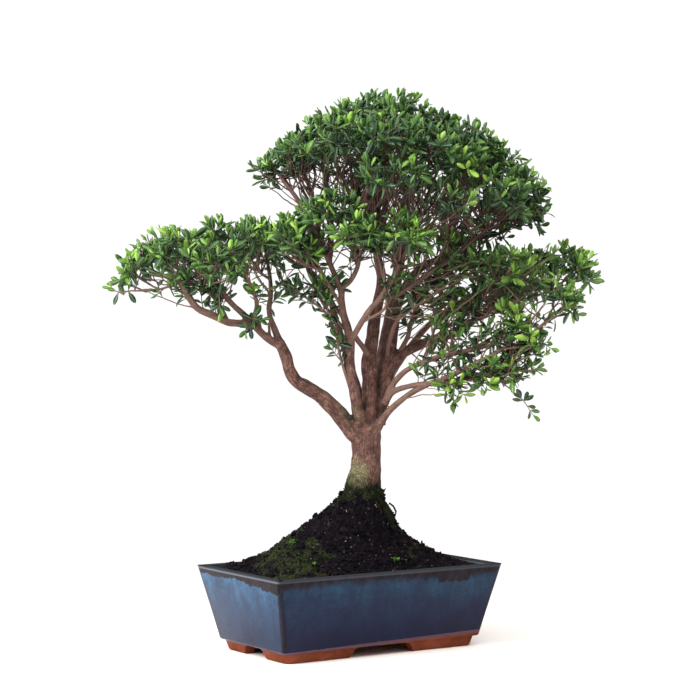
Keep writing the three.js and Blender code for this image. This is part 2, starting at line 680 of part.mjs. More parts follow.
// Leaves fan out of the spray's outer side and lean up towards the light
const LEAFY_SIDE = 1.5; // 2 would be all round
const GOLDEN_TURN = 2.39996;
const LEAF_LIFT = 0.12;

function sprayLeaf(spray, number, index, attempt) {
  const { middle, outward, size } = spray;
  const seed = number * 31.3 + index * 5.3 + attempt * 113.9;
  const share = (index + 0.5 + spread(seed, 0.35)) / leafCount(spray);
  const polar = Math.acos(1 - share * LEAFY_SIDE);
  const around = index * GOLDEN_TURN + spread(seed + 1, 0.5) + number;
  const frame = sprayFrame(outward);
  const ray = new THREE.Vector3(
    Math.sin(polar) * Math.cos(around),
    Math.sin(polar) * Math.sin(around),
    Math.cos(polar),
  );
  const root = new THREE.Vector3(...LEAF_ROOTS).multiply(ray).multiplyScalar(size);
  root.applyMatrix4(frame).add(middle);
  const direction = ray.applyMatrix4(frame);
  direction.z += LEAF_LIFT + spread(seed + 2, 0.3);
  direction.x += spread(seed + 3, 0.25);
  direction.y += spread(seed + 4, 0.25);
  direction.normalize();
  const length = LEAF_LENGTH * (1 + spread(seed + 5, 0.16)) + LEAF_SUNK * size;
  const face = new THREE.Vector3(spread(seed + 6, 0.7), spread(seed + 7, 0.7), 1).normalize();
  const blade = bladeGeometry(length, LEAF_WIDTH * (1 + spread(seed + 8, 0.12)));
  blade.applyMatrix4(turnedTo(direction, face));
  reshaped(blade, (point) => {
    point.add(root);
    point.copy(placed(point.x, point.y, point.z));
  });
  return solidOf(blade);
}

function near(solid, others, gap) {
  const box = solid.boundingBox();
  return others.some((other) => {
    const range = other.boundingBox();
    for (let axis = 0; axis < 3; axis++) {
      if (box.min[axis] - gap > range.max[axis] || box.max[axis] + gap < range.min[axis]) return false;
    }
    return solid.minGap(other, gap * 2) < gap;
  });
}

// All the wood, or the room it needs when a gap is kept round it
function woodSolid(extra) {
  return joined([limbsSolid(extra), ...sprays.map((spray) => bearingTwig(spray, extra))]);
}

const sprays = allSprays();
const wood = woodSolid(0);
const woodRoom = woodSolid(TRIM_GAP);
const footRoom = footSolid(CLEARANCE);

const twigs = sprays.map(sprayTwig);

// The middles first: one that would touch its neighbour or another's twig is made smaller
const SHRINK_STEP = 0.94;
const bodies = [];
sprays.forEach((spray, number) => {
  const others = [...bodies, ...twigs.filter((twig, i) => i !== number)];
  while (near(sprayHeart(spray, number), others, TRIM_GAP)) spray.size *= SHRINK_STEP;
  bodies.push(sprayHeart(spray, number).add(twigs[number]).subtract(woodRoom));
});

// Then the leaves, each one turned until it is clear of the wood and of every other spray
const leafy = [...bodies];
sprays.forEach((spray, number) => {
  const others = [wood, ...leafy.filter((body, i) => i !== number)];
  const leaves = [];
  for (let index = 0; index < leafCount(spray); index++) {
    for (let attempt = 0; attempt < LEAF_TRIES; attempt++) {
      const leaf = sprayLeaf(spray, number, index, attempt);
      if (near(leaf, others, TRIM_GAP)) continue;
      leaves.push(leaf);
      break;
    }
  }
  leafy[number] = largestBody(joined([bodies[number], ...leaves]));
});

// Colours and finishes
const GLAZE = new THREE.MeshStandardMaterial({ color: 0x33496e, roughness: 0.2, metalness: 0 });
const SOIL = new THREE.MeshStandardMaterial({ color: 0x1d1812, roughness: 0.95, metalness: 0 });
const BARK = new THREE.MeshStandardMaterial({ color: 0x6b4a3a, roughness: 0.85, metalness: 0 });
const LEAF = new THREE.MeshStandardMaterial({ color: 0x3f6b24, roughness: 0.45, metalness: 0 });

const bonsai = new THREE.Group();
bonsai.name = "myrtle_bonsai";

function addPiece(name, solid, material) {
  const mesh = new THREE.Mesh(geometryOf(solid), material);
  mesh.name = name;
  bonsai.add(mesh);
}

addPiece("pot", potSolid(), GLAZE);
addPiece("soil", largestBody(soilSolid().subtract(footRoom)), SOIL);
addPiece("trunk_and_branches", largestBody(wood), BARK);
leafy.forEach((solid, i) => addPiece(sprays[i].name, solid, LEAF));

// The origin is under the middle of the whole object, on the table
const extent = new THREE.Box3().setFromObject(bonsai);
const middleOfAll = extent.getCenter(new THREE.Vector3());
bonsai.children.forEach((mesh) => {
  mesh.geometry.translate(-middleOfAll.x, -middleOfAll.y, -extent.min.z);
});

export default bonsai;
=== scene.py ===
import math

import bmesh
import bpy
import numpy as np
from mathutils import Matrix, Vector, kdtree, noise
from mathutils.bvhtree import BVHTree


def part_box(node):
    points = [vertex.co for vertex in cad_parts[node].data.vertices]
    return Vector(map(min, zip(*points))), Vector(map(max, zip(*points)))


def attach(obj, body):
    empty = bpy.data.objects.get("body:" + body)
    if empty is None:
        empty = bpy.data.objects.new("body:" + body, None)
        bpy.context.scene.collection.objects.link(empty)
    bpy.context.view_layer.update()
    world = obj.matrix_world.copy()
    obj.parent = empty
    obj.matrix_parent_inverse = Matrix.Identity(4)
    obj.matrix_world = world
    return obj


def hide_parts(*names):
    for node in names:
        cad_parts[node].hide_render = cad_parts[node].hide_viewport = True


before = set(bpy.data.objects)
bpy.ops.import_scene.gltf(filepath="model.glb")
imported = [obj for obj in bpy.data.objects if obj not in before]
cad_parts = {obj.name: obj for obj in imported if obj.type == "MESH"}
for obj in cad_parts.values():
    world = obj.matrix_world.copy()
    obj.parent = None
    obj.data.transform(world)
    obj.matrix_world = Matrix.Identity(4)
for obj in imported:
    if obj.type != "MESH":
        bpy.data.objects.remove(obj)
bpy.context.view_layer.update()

# The pot: slab-built stoneware, its four walls leaning out to a rounded rim, over four corner feet.
# A blue glaze runs down it and breaks to brown on the rim and edges; the foot is bare clay.

MM = 0.001
RIM_LENGTH = 310 * MM
RIM_DEPTH = 186 * MM
RIM_HEIGHT = 98 * MM
FOOT_HEIGHT = 12 * MM
SIDE_SLOPE = 19.5 * MM  # how far each side leans in from the rim to the underside
WALL = 11 * MM
POT_FLOOR = 8 * MM
CAVITY_COVE = 4 * MM
POT_CORNER = 5 * MM
BASE_ROUNDING = 2.4 * MM
RIM_ROUNDING = 3.4 * MM
FOOT_BAND = 15 * MM
FOOT_CORNER = 9 * MM
FOOT_INSET = SIDE_SLOPE + 3 * MM
FOOT_SLOPE = 3.5 * MM
FOOT_ROUNDING = 2.6 * MM
LONG_SIDE_ARCH = 82 * MM
SHORT_SIDE_ARCH = 42 * MM
ARCH_FLARE = 18 * MM  # how much wider an arch is at the table than at its top
ARCH_ROUNDING = 5 * MM
BELOW = -5 * MM  # cutting blocks reach this far under the table
DRAIN_HOLE = 15 * MM
DRAIN_SPACING = 120 * MM

pot_low, pot_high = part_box("pot")
POT_X = (pot_low.x + pot_high.x) / 2
POT_Y = (pot_low.y + pot_high.y) / 2


def linear(code):
    """An sRGB hex colour as the linear colour that a shader takes."""
    parts = [int(code[i : i + 2], 16) / 255 for i in (1, 3, 5)]
    return (*[p / 12.92 if p <= 0.04045 else ((p + 0.055) / 1.055) ** 2.4 for p in parts], 1.0)


def new_material(name):
    """A named material with its node tree and its shader."""
    material = bpy.data.materials.new(name)
    material.use_nodes = True
    return material, material.node_tree, material.node_tree.nodes["Principled BSDF"]


def feed(tree, node, inputs):
    """Sets a node's inputs: to a linked socket, a number or a hex colour."""
    for name, value in inputs.items():
        if isinstance(value, bpy.types.NodeSocket):
            tree.links.new(value, node.inputs[name])
        else:
            node.inputs[name].default_value = linear(value) if isinstance(value, str) else value


def add_node(tree, kind, inputs=(), **settings):
    """Adds a node with its settings and its inputs."""
    made = tree.nodes.new("ShaderNode" + kind)
    for name, value in settings.items():
        setattr(made, name, value)
    feed(tree, made, dict(inputs))
    return made


def of_mesh(tree, name):
    """A number that the mesh carries at each corner."""
    return add_node(tree, "Attribute", attribute_name=name).outputs["Fac"]


def grains(tree, place, size, detail=2.0, rough=0.5):
    """A cloudy pattern with patches of about this size."""
    inputs = {"Vector": place, "Scale": 1 / size, "Detail": detail, "Roughness": rough}
    return add_node(tree, "TexNoise", inputs).outputs["Fac"]


def maths(tree, operation, *values):
    return add_node(tree, "Math", dict(enumerate(values)), operation=operation).outputs[0]


def spread(tree, value, low=0, high=1, start=0, end=1, smooth=False):
    """Carries the span from low to high over to start to end, and holds it at both ends."""
    inputs = {"Value": value, "From Min": low, "From Max": high, "To Min": start, "To Max": end}
    kind = "SMOOTHSTEP" if smooth else "LINEAR"
    return add_node(tree, "MapRange", inputs, interpolation_type=kind).outputs[0]


def mix(tree, share, first, second):
    return add_node(tree, "MixRGB", {"Fac": share, "Color1": first, "Color2": second}).outputs[0]


def ramp(tree, value, *stops):
    """Turns a number into a colour, by stops of (number, colour)."""
    made = add_node(tree, "ValToRGB", {"Fac": value})
    elements = made.color_ramp.elements
    elements.remove(elements[1])
    elements[0].position = stops[0][0]
    elements[0].color = linear(stops[0][1])
    for place, colour in stops[1:]:
        elements.new(place).color = linear(colour)
    return made.outputs[0]


def choose(piece):
    """Selects one object alone."""
    bpy.ops.object.select_all(action="DESELECT")
    piece.select_set(True)
    bpy.context.view_layer.objects.active = piece


def start_on(piece):
    """Opens one object's mesh with nothing selected."""
    choose(piece)
    bpy.ops.object.mode_set(mode="EDIT")
    bpy.ops.mesh.select_all(action="DESELECT")


def pick(piece, mode, rule):
    """Selects the open mesh's faces, edges or vertices that the rule says."""
    bpy.ops.mesh.select_mode(type=mode)
    bpy.ops.mesh.select_all(action="DESELECT")
    mesh = bmesh.from_edit_mesh(piece.data)
    for part in {"FACE": mesh.faces, "EDGE": mesh.edges, "VERT": mesh.verts}[mode]:
        if rule(part):
            part.select_set(True)
    mesh.select_flush_mode()
    bmesh.update_edit_mesh(piece.data)


def block(name, length, depth, low, high):
    """A block over the pot's middle, as a start to shape."""
    bpy.ops.object.select_all(action="DESELECT")
    bpy.ops.mesh.primitive_cube_add(
        size=1, location=(POT_X, POT_Y, (low + high) / 2), scale=(length, depth, high - low)
    )
    made = bpy.context.object
    made.name = name
    bpy.ops.object.transform_apply(location=True, rotation=True, scale=True)
    return made


def taper(length, depth, inset, height):
    """Draws the selected outline in by inset on every side."""
    bpy.ops.transform.resize(
        value=((length - 2 * inset) / length, (depth - 2 * inset) / depth, 1),
        center_override=(POT_X, POT_Y, height),
    )


def round_off(piece, rule, offset, segments, clamp=False):
    """Rounds the edges that the rule picks."""
    pick(piece, "EDGE", rule)
    bpy.ops.mesh.bevel(offset=offset, segments=segments, affect="EDGES", clamp_overlap=clamp)


def facing_down(face):
    return face.normal.z < -0.9


def upright(edge):
    return abs(edge.verts[0].co.z - edge.verts[1].co.z) > 5 * MM


def cut_with(piece, tool, operation="DIFFERENCE"):
    """Cuts or joins one solid with another and removes the tool."""
    bpy.context.view_layer.objects.active = piece
    change = piece.modifiers.new("cut", "BOOLEAN")
    change.operation = operation
    change.solver = "EXACT"
    change.object = tool
    bpy.ops.object.modifier_apply(modifier=change.name)
    bpy.data.objects.remove(tool)


def slope_inset(height):
    return SIDE_SLOPE * (RIM_HEIGHT - height) / (RIM_HEIGHT - FOOT_HEIGHT)


pot = block("glazed_pot", RIM_LENGTH, RIM_DEPTH, FOOT_HEIGHT, RIM_HEIGHT)
start_on(pot)
pick(pot, "FACE", facing_down)
taper(RIM_LENGTH, RIM_DEPTH, SIDE_SLOPE, FOOT_HEIGHT)
round_off(pot, upright, POT_CORNER, 5)
round_off(
    pot,
    lambda edge: not upright(edge) and edge.verts[0].co.z < RIM_HEIGHT - MM,
    BASE_ROUNDING,
    3,
)
pick(pot, "FACE", lambda face: face.normal.z > 0.9)
bpy.ops.mesh.inset(thickness=WALL)
cavity_floor = FOOT_HEIGHT + POT_FLOOR
cavity_long, cavity_deep = RIM_LENGTH - 2 * WALL, RIM_DEPTH - 2 * WALL
cavity_inset = slope_inset(cavity_floor + CAVITY_COVE)
bpy.ops.mesh.extrude_region_move(
    TRANSFORM_OT_translate={"value": (0, 0, cavity_floor + CAVITY_COVE - RIM_HEIGHT)}
)
taper(cavity_long, cavity_deep, cavity_inset, cavity_floor)
bpy.ops.mesh.extrude_region_move(TRANSFORM_OT_translate={"value": (0, 0, -CAVITY_COVE)})
taper(
    cavity_long - 2 * cavity_inset, cavity_deep - 2 * cavity_inset, CAVITY_COVE, cavity_floor
)
round_off(
    pot,
    lambda edge: min(v.co.z for v in edge.verts) > RIM_HEIGHT - MM / 10,
    RIM_ROUNDING,
    5,
    clamp=True,
)
bpy.ops.object.mode_set(mode="OBJECT")

foot_long, foot_deep = RIM_LENGTH - 2 * FOOT_INSET, RIM_DEPTH - 2 * FOOT_INSET
foot = block("foot", foot_long, foot_deep, 0, FOOT_HEIGHT + MM)
start_on(foot)
pick(foot, "FACE", facing_down)
taper(foot_long, foot_deep, FOOT_SLOPE, 0)
round_off(foot, upright, FOOT_CORNER, 6)
round_off(foot, lambda edge: max(v.co.z for v in edge.verts) < MM / 10, FOOT_ROUNDING, 3)
bpy.ops.object.mode_set(mode="OBJECT")
hollow = block(
    "hollow", foot_long - 2 * FOOT_BAND, foot_deep - 2 * FOOT_BAND, BELOW, FOOT_HEIGHT - MM / 10
)
cut_with(foot, hollow)
for width, cut_length, side_axis in ((LONG_SIDE_ARCH, RIM_DEPTH, 0), (SHORT_SIDE_ARCH, RIM_LENGTH, 1)):
    narrow = width - ARCH_FLARE / 3
    size = (cut_length, narrow) if side_axis else (narrow, cut_length)
    gap = block("gap", *size, BELOW, FOOT_HEIGHT - MM / 20)
    start_on(gap)
    pick(gap, "FACE", facing_down)
    wide = (narrow + ARCH_FLARE) / narrow
    bpy.ops.transform.resize(
        value=(1, wide, 1) if side_axis else (wide, 1, 1), center_override=(POT_X, POT_Y, BELOW)
    )

    def arch_top(edge):
        start, end = (corner.co for corner in edge.verts)
        return (
            abs(start.z - end.z) < MM and start.z > 0 and abs((start - end)[1 - side_axis]) > 20 * MM
        )

    round_off(gap, arch_top, ARCH_ROUNDING, 4)
    bpy.ops.object.mode_set(mode="OBJECT")
    cut_with(foot, gap)
cut_with(pot, foot, "UNION")
for side in (-1, 1):
    bpy.ops.object.select_all(action="DESELECT")
    bpy.ops.mesh.primitive_cylinder_add(
        vertices=32,
        radius=DRAIN_HOLE / 2,
        depth=POT_FLOOR * 3,
        location=(POT_X + side * DRAIN_SPACING / 2, POT_Y, FOOT_HEIGHT + POT_FLOOR / 2),
    )
    cut_with(pot, bpy.context.object)

# Glazed stoneware: a glassy coat, 0.5 mm thick, clouded by the kiln, over rough red-brown clay.
# It looks wet and deep, streaked downwards, paler where it gathers and brown where it runs thin.
glaze, tree, shader = new_material("blue_running_glaze_on_stoneware")
place = add_node(tree, "TexCoord")
centred = add_node(
    tree, "Mapping", {"Vector": place.outputs["Object"], "Location": (-POT_X, -POT_Y, 0)}
).outputs[0]
axes = add_node(tree, "SeparateXYZ", {0: centred})
height = axes.outputs["Z"]
drips = grains(tree, centred, 38 * MM, 2.0)
ragged = grains(tree, centred, 6 * MM, 5.0)
cloud = grains(tree, centred, 30 * MM, 8.0, 0.62)
down = add_node(tree, "Mapping", {"Vector": centred, "Scale": (1, 1, 0.18)}).outputs[0]
streak = grains(tree, down, 6 * MM, 4.0, 0.6)
speck = grains(tree, centred, 1.6 * MM, 3.0, 0.7)

# the blue: paler and more teal where it gathers below the rim, indigo towards the foot
up_wall = spread(tree, height, 20 * MM, 86 * MM, -0.03, 0.29)
tone = maths(tree, "MULTIPLY_ADD", cloud, 0.5, up_wall)
tone = maths(tree, "MULTIPLY_ADD", streak, 0.14, tone)
tone = maths(tree, "MULTIPLY_ADD", speck, 0.46, tone)
# both short ends take a lighter, bluer ramp than the long sides: painted light, as from the lamp on the left
long_side = ramp(tree, tone, (0.4, "#0F1228"), (0.58, "#131832"), (0.74, "#17253D"), (0.95, "#203F57"))
short_ends_painted_lighter = ramp(tree, tone, (0.4, "#171D34"), (0.58, "#1C2A45"), (0.76, "#233C57"), (0.95, "#3B6082"))
facing = add_node(tree, "SeparateXYZ", {0: place.outputs["Normal"]})
endways = maths(tree, "ABSOLUTE", facing.outputs["X"])
endways = spread(tree, endways, 0.45, 0.9, smooth=True)
blue = mix(tree, endways, long_side, short_ends_painted_lighter)

# how far a point stands from the nearest upright corner, along the wall
wall_place = add_node(tree, "VectorMath", {0: centred}, operation="ABSOLUTE")
wall_axes = add_node(tree, "SeparateXYZ", {0: wall_place.outputs[0]})
lean = 2 * SIDE_SLOPE / (RIM_HEIGHT - FOOT_HEIGHT)
reach = (RIM_LENGTH + RIM_DEPTH) / 2 - lean * RIM_HEIGHT
corner = maths(tree, "MULTIPLY_ADD", height, lean, reach)
corner = maths(tree, "SUBTRACT", corner, wall_axes.outputs["X"])
corner = maths(tree, "SUBTRACT", corner, wall_axes.outputs["Y"])
corner = maths(tree, "MULTIPLY_ADD", ragged, 4 * MM, corner)
on_corner = spread(tree, corner, 5 * MM, 9.5 * MM, 0.85, 0.0, smooth=True)
# the brown band under the rim: a ragged edge, here sharp and there soft, with a few deep runs
front = spread(tree, facing.outputs["Y"], -0.2, -0.6)
patch_far = maths(tree, "SUBTRACT", axes.outputs["X"], 85 * MM)
patch_far = maths(tree, "ABSOLUTE", patch_far)
patch = spread(tree, patch_far, 24 * MM, 20 * MM)
patch = maths(tree, "MULTIPLY", patch, front)
sharp = maths(tree, "MAXIMUM", patch, endways)
near_corner = spread(tree, axes.outputs["Y"], 0, -75 * MM, 1 * MM, 9 * MM)
near_corner = maths(tree, "MULTIPLY", near_corner, endways)
edge = maths(tree, "MULTIPLY_ADD", patch, 10 * MM, height)
edge = maths(tree, "ADD", edge, near_corner)
edge = maths(tree, "MULTIPLY_ADD", drips, 12 * MM, edge)
edge = maths(tree, "MULTIPLY_ADD", ragged, 9 * MM, edge)
blur = spread(tree, sharp, 0, 1, 93 * MM, 101.4 * MM)
on_rim = spread(tree, edge, blur, 103 * MM, smooth=True)
thin = maths(tree, "MAXIMUM", on_corner, on_rim)
brown = ramp(tree, streak, (0.3, "#0B080C"), (0.5, "#130E15"), (0.7, "#221C26"))
glazed = mix(tree, thin, blue, brown)
# the rounded rim, where the glaze runs thin and greyer, with a painted highlight: a pale line where its
# rounding starts, brighter on the short ends
rim_shine = spread(tree, endways, 0, 1, 0.3, 0.9)
rim_painted_highlight = spread(tree, height, 94.4 * MM, 95.4 * MM, 0, rim_shine)
glazed = mix(tree, rim_painted_highlight, glazed, "#5C606A")
rim_top = spread(tree, height, 96.2 * MM, 97.2 * MM, 0, 0.85)
glazed = mix(tree, rim_top, glazed, "#282D31")
# bare clay on the foot, and a mauve band where the glaze thins out above it
glaze_line = maths(tree, "MULTIPLY_ADD", axes.outputs["X"], -0.022, height)
glaze_line = maths(tree, "MULTIPLY_ADD", ragged, 1.6 * MM, glaze_line)
bare = spread(tree, glaze_line, 13.4 * MM, 14.4 * MM, 1.0, 0.0)
mauve = spread(tree, glaze_line, 17.2 * MM, 18 * MM, 1.0, 0.0)
clay = ramp(tree, cloud, (0.3, "#55291C"), (0.5, "#703A28"), (0.7, "#864B37"))
glazed = mix(tree, mauve, glazed, "#583D48")
colour = mix(tree, bare, glazed, clay)
# the rim's flat top is rubbed dull
rim_flat = spread(tree, height, 97.4 * MM, 97.9 * MM)
dull = maths(tree, "MAXIMUM", rim_flat, bare)
rough = spread(tree, dull, 0, 1, 0.16, 0.85)
shine = spread(tree, dull, 0, 1, 0.12, 0.03)
wave = maths(tree, "MULTIPLY_ADD", speck, 0.25, cloud)
bump = add_node(tree, "Bump", {"Height": wave, "Strength": 0.25, "Distance": 1.5 * MM}).outputs[0]
feed(
    tree,
    shader,
    {"Base Color": colour, "Roughness": rough, "Specular IOR Level": shine, "Normal": bump, "IOR": 1.5},
)

pot.data.materials.clear()
pot.data.materials.append(glaze)
choose(pot)
bpy.ops.object.shade_smooth_by_angle(angle=math.radians(32))
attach(pot, "root")
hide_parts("pot")


# The camera and the studio: a long lens a little above the pot's height, a white sweep, soft light.

VIEW_TURN = math.radians(33.2)  # the tree's front is turned this far from the pot's
FRONT_COS, FRONT_SIN = math.cos(VIEW_TURN), math.sin(VIEW_TURN)
CAMERA_DISTANCE = 2600 * MM
CAMERA_HEIGHT = 411 * MM
CAMERA_DIP = math.radians(1.35)
PHOTO_WIDTH = 700
PHOTO_FOCAL = 2217  # in the photograph's pixels
SENSOR = 36
SWEEP_NEAR = 320 * MM
SWEEP_FAR = 700 * MM
LAMPS_AIM = 330  # mm above the table
WHITE = (1, 1, 1, 1)


def placed(right, away, up):
    """A point of the tree's front view, in mm from under the pot's middle, in the object's frame."""
    return Vector(
        (
            (right * FRONT_COS + away * FRONT_SIN) * MM + POT_X,
            (away * FRONT_COS - right * FRONT_SIN) * MM + POT_Y,
            up * MM,
        )
    )


eye = placed(0, -CAMERA_DISTANCE / MM, CAMERA_HEIGHT / MM)
bpy.ops.object.camera_add(location=eye, rotation=(math.pi / 2 - CAMERA_DIP, 0, -VIEW_TURN))
camera = bpy.context.object
camera.name = "studio_camera"
camera.data.lens = PHOTO_FOCAL / PHOTO_WIDTH * SENSOR
camera.data.sensor_width = SENSOR
camera.data.clip_end = 50
bpy.context.scene.camera = camera
bpy.context.scene.view_settings.view_transform = "Standard"

# the studio's light comes mostly from above, off a white ceiling; behind the object it is plain white
world = bpy.data.worlds.new("white_studio")
bpy.context.scene.world = world
world.use_nodes = True
tree = world.node_tree
way = add_node(tree, "SeparateXYZ", {0: add_node(tree, "TexCoord").outputs["Generated"]})
strength = spread(tree, way.outputs["Z"], 0, 1, 0.36, 1.02)
ceiling = add_node(tree, "Background", {"Strength": strength, "Color": WHITE}).outputs[0]
backdrop = add_node(tree, "Background", {"Strength": 1.05, "Color": WHITE}).outputs[0]
seen = add_node(tree, "LightPath")
both = add_node(tree, "MixShader", {0: seen.outputs["Is Camera Ray"], 1: ceiling, 2: backdrop}).outputs[0]
tree.links.new(both, tree.nodes["World Output"].inputs["Surface"])

bpy.ops.object.select_all(action="DESELECT")
bpy.ops.mesh.primitive_plane_add(size=12, location=(0, 0, 0))
floor = bpy.context.object
floor.name = "studio_floor"
paper, tree, shader = new_material("white_paper_sweep")
place = add_node(tree, "TexCoord")
# the paper is painted faintly warm, in broad patches: a painted warm reflection of the clay foot
warm_reflection_patches = grains(tree, place.outputs["Object"], 250 * MM, 3.0)
tint = ramp(tree, warm_reflection_patches, (0.3, "#FBF1E9"), (0.7, "#FFF9F4"))
feed(tree, shader, {"Base Color": tint, "Roughness": 0.9})
# further out the sweep is lit as white as what stands behind it
outward = add_node(
    tree, "Mapping", {"Vector": place.outputs["Object"], "Location": (-POT_X, -POT_Y, 0)}
).outputs[0]
outward = add_node(tree, "VectorMath", {0: outward}, operation="LENGTH").outputs["Value"]
outward = spread(tree, outward, SWEEP_NEAR, SWEEP_FAR, smooth=True)
bright = add_node(tree, "Emission", {"Color": WHITE, "Strength": 1.05}).outputs[0]
both = add_node(tree, "MixShader", {0: outward, 1: shader.outputs[0], 2: bright}).outputs[0]
tree.links.new(both, tree.nodes["Material Output"].inputs["Surface"])
floor.data.materials.append(paper)

for name, right, away, up, size, power in (
    ("softbox_left", -1500, -900, 1300, 1.4, 71),
    ("softbox_right", 1100, -900, 2200, 1.2, 23),
    ("softbox_front", 500, -1900, 1900, 1.2, 14),
    ("softbox_top", 0, 300, 2000, 1.6, 5),
):
    where = placed(right, away, up)
    bpy.ops.object.light_add(type="AREA", location=where)
    lamp = bpy.context.object
    lamp.name = name
    lamp.data.size = size
    lamp.data.energy = power
    lamp.rotation_euler = (placed(0, 0, LAMPS_AIM) - where).to_track_quat("-Z", "Y").to_euler()


# The soil: dark potting soil, watered and trodden into a steep crumbly mound up to the foot of the trunk.
# It fills the pot to just under the rim. The mound's top is the old root ball, raised when it was potted.

SOIL_EDGE = 93
TRUNK_RIGHT = 17
SOIL_AROUND = 420
SOIL_RINGS = 118
CLOD = 9 * MM
CRUMB = 2.6 * MM
# heights of the mound, with its two half-widths and how far to the right its middle lies, in mm
MOUND = [
    (SOIL_EDGE - 1, 142.7, 80.8, 0),
    (102, 125, 78, -7),
    (114, 104, 65, -2),
    (126, 80, 56, -6),
    (140, 62, 49, -3),
    (154, 47, 42, 7),
    (167, 33, 31, 10),
    (181, 26, 25, 15),
    (187, 19, 19, TRUNK_RIGHT),
    (187.5, 1, 1, TRUNK_RIGHT),
]
MOUND_ROUNDING = (0.03, 0.5, 1, 1, 1, 1, 1, 1, 1, 1)  # from the pot's outline to an oval


def smoothed(values, times):
    """A row of values with its steps eased, its ends kept."""
    for _ in range(times):
        values[1:-1] = (values[:-2] + 2 * values[1:-1] + values[2:]) / 4
    return values


levels = np.linspace(0, len(MOUND) - 1, SOIL_RINGS)
columns = [np.interp(levels, range(len(MOUND)), column) for column in zip(*MOUND)]
mound_up, mound_long, mound_deep, mound_right = [smoothed(column, 60) for column in columns]
mound_round = smoothed(np.interp(levels, range(len(MOUND)), MOUND_ROUNDING), 20)

bpy.ops.object.select_all(action="DESELECT")
bpy.ops.mesh.primitive_cylinder_add(vertices=SOIL_AROUND, radius=1, depth=1, end_fill_type="TRIFAN")
soil = bpy.context.object
soil.name = "potting_soil"
start_on(soil)
pick(soil, "EDGE", lambda edge: abs(edge.verts[0].co.z - edge.verts[1].co.z) > 0.5)
bpy.ops.mesh.subdivide(number_cuts=SOIL_RINGS - 1)
bpy.ops.object.mode_set(mode="OBJECT")


def rough_ground(point):
    """How far the crumbs of the soil stand out at a place."""
    clods = noise.fractal(point / CLOD, 0.8, 2.1, 4) * 2.8
    crumbs = abs(noise.noise(point / CRUMB)) * 3.6 - 1.1
    return (clods + crumbs) * MM


for vertex in soil.data.vertices:
    level = round((vertex.co.z + 0.5) * SOIL_RINGS)
    spoke = math.hypot(vertex.co.x, vertex.co.y)
    angle = math.atan2(vertex.co.y, vertex.co.x)
    row = max(level - 1, 0)
    half_long, half_deep = mound_long[row] * MM, mound_deep[row] * MM
    away_x, away_y = math.cos(angle), math.sin(angle)
    box_reach = min(half_long / max(abs(away_x), 1e-6), half_deep / max(abs(away_y), 1e-6))
    rounding = mound_round[row]
    centre = placed(mound_right[row], 0, mound_up[row])
    if level == 0:
        spoke *= 0.96
        centre.z -= 14 * MM
    point = Vector(
        (
            centre.x + spoke * away_x * ((1 - rounding) * box_reach + rounding * half_long),
            centre.y + spoke * away_y * ((1 - rounding) * box_reach + rounding * half_deep),
            centre.z,
        )
    )
    if level:
        free = min(1, row / 8)
        push = rough_ground(point)
        steep = min(1, row / (SOIL_RINGS * 0.6))
        point.x += push * away_x * steep * free
        point.y += push * away_y * steep * free
        point.z += push * (1.1 - 0.6 * steep) * (0.35 + 0.65 * free)
    vertex.co = point
soil.data.update()
bpy.ops.object.shade_smooth()


def faces_of(mesh):
    """The middles, outward directions and areas of a mesh's faces."""
    count = len(mesh.polygons)
    spots, normals, areas = np.zeros(count * 3), np.zeros(count * 3), np.zeros(count)
    for label, row in (("center", spots), ("normal", normals), ("area", areas)):
        mesh.polygons.foreach_get(label, row)
    return spots.reshape(-1, 3), normals.reshape(-1, 3), areas


ground_spots, ground_normals, ground_areas = faces_of(soil.data)
hidden = (ground_normals[:, 2] < 0.05) | (ground_spots[:, 2] < (SOIL_EDGE - 6) * MM)
ground_areas[hidden] = 0


def front_view(spots):
    """Places as seen from the tree's front: right, away and up, in millimetres."""
    x, y = (spots[:, 0] - POT_X) / MM, (spots[:, 1] - POT_Y) / MM
    return x * FRONT_COS - y * FRONT_SIN, x * FRONT_SIN + y * FRONT_COS, spots[:, 2] / MM


def moss_cover(spots):
    """How mossy the soil is: on its left flank, in patches elsewhere and round the trunk's foot."""
    right, away, up = front_view(spots)
    patch = np.array([noise.fractal(Vector(spot) / (16 * MM), 1.0, 2.0, 3) for spot in spots])
    flank = np.exp(-(((right + 70) / 50) ** 2) - ((up - 110) / 28) ** 2)
    corner = 0.8 * np.exp(-(((right - 72) / 16) ** 2) - ((up - 118) / 12) ** 2)
    behind = 0.45 * (away > 25) * (up < 150)
    foot = 0.7 * (up > 176)
    return np.clip((flank + corner + behind + foot - 0.4 + 0.7 * patch) * 2.2, 0, 1)


# Wet peat-like potting soil: near black, matt, with brown fibre and a green film of moss and algae.
earth, tree, shader = new_material("wet_potting_soil_with_moss_film")
place = add_node(tree, "TexCoord")
grit = grains(tree, place.outputs["Object"], 3 * MM, 8.0, 0.7)
patches = grains(tree, place.outputs["Object"], 20 * MM, 3.0)
dark = ramp(tree, grit, (0.34, "#030204"), (0.5, "#09060B"), (0.6, "#171018"), (0.72, "#372A32"))
green = ramp(tree, grit, (0.34, "#080A05"), (0.5, "#1B210F"), (0.66, "#414A24"))
film = of_mesh(tree, "moss")
film = maths(tree, "MULTIPLY", film, patches)
film = spread(tree, film, 0.1, 0.5)
colour = mix(tree, film, dark, green)
bump = add_node(tree, "Bump", {"Height": grit, "Strength": 0.8, "Distance": 1.2 * MM}).outputs[0]
feed(tree, shader, {"Base Color": colour, "Normal": bump, "Roughness": 0.88, "Specular IOR Level": 0.08})

soil.data.materials.append(earth)
corners = np.zeros(len(soil.data.vertices) * 3)
soil.data.vertices.foreach_get("co", corners)
soil.data.attributes.new("moss", "FLOAT", "POINT").data.foreach_set(
    "value", moss_cover(corners.reshape(-1, 3)).astype(np.float32)
)
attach(soil, "root")
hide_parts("soil")


# Crumbs of soil, grit and a few pale grains, loose on the mound.
# Each is a small irregular lump, sunk by a third into what it lies on.

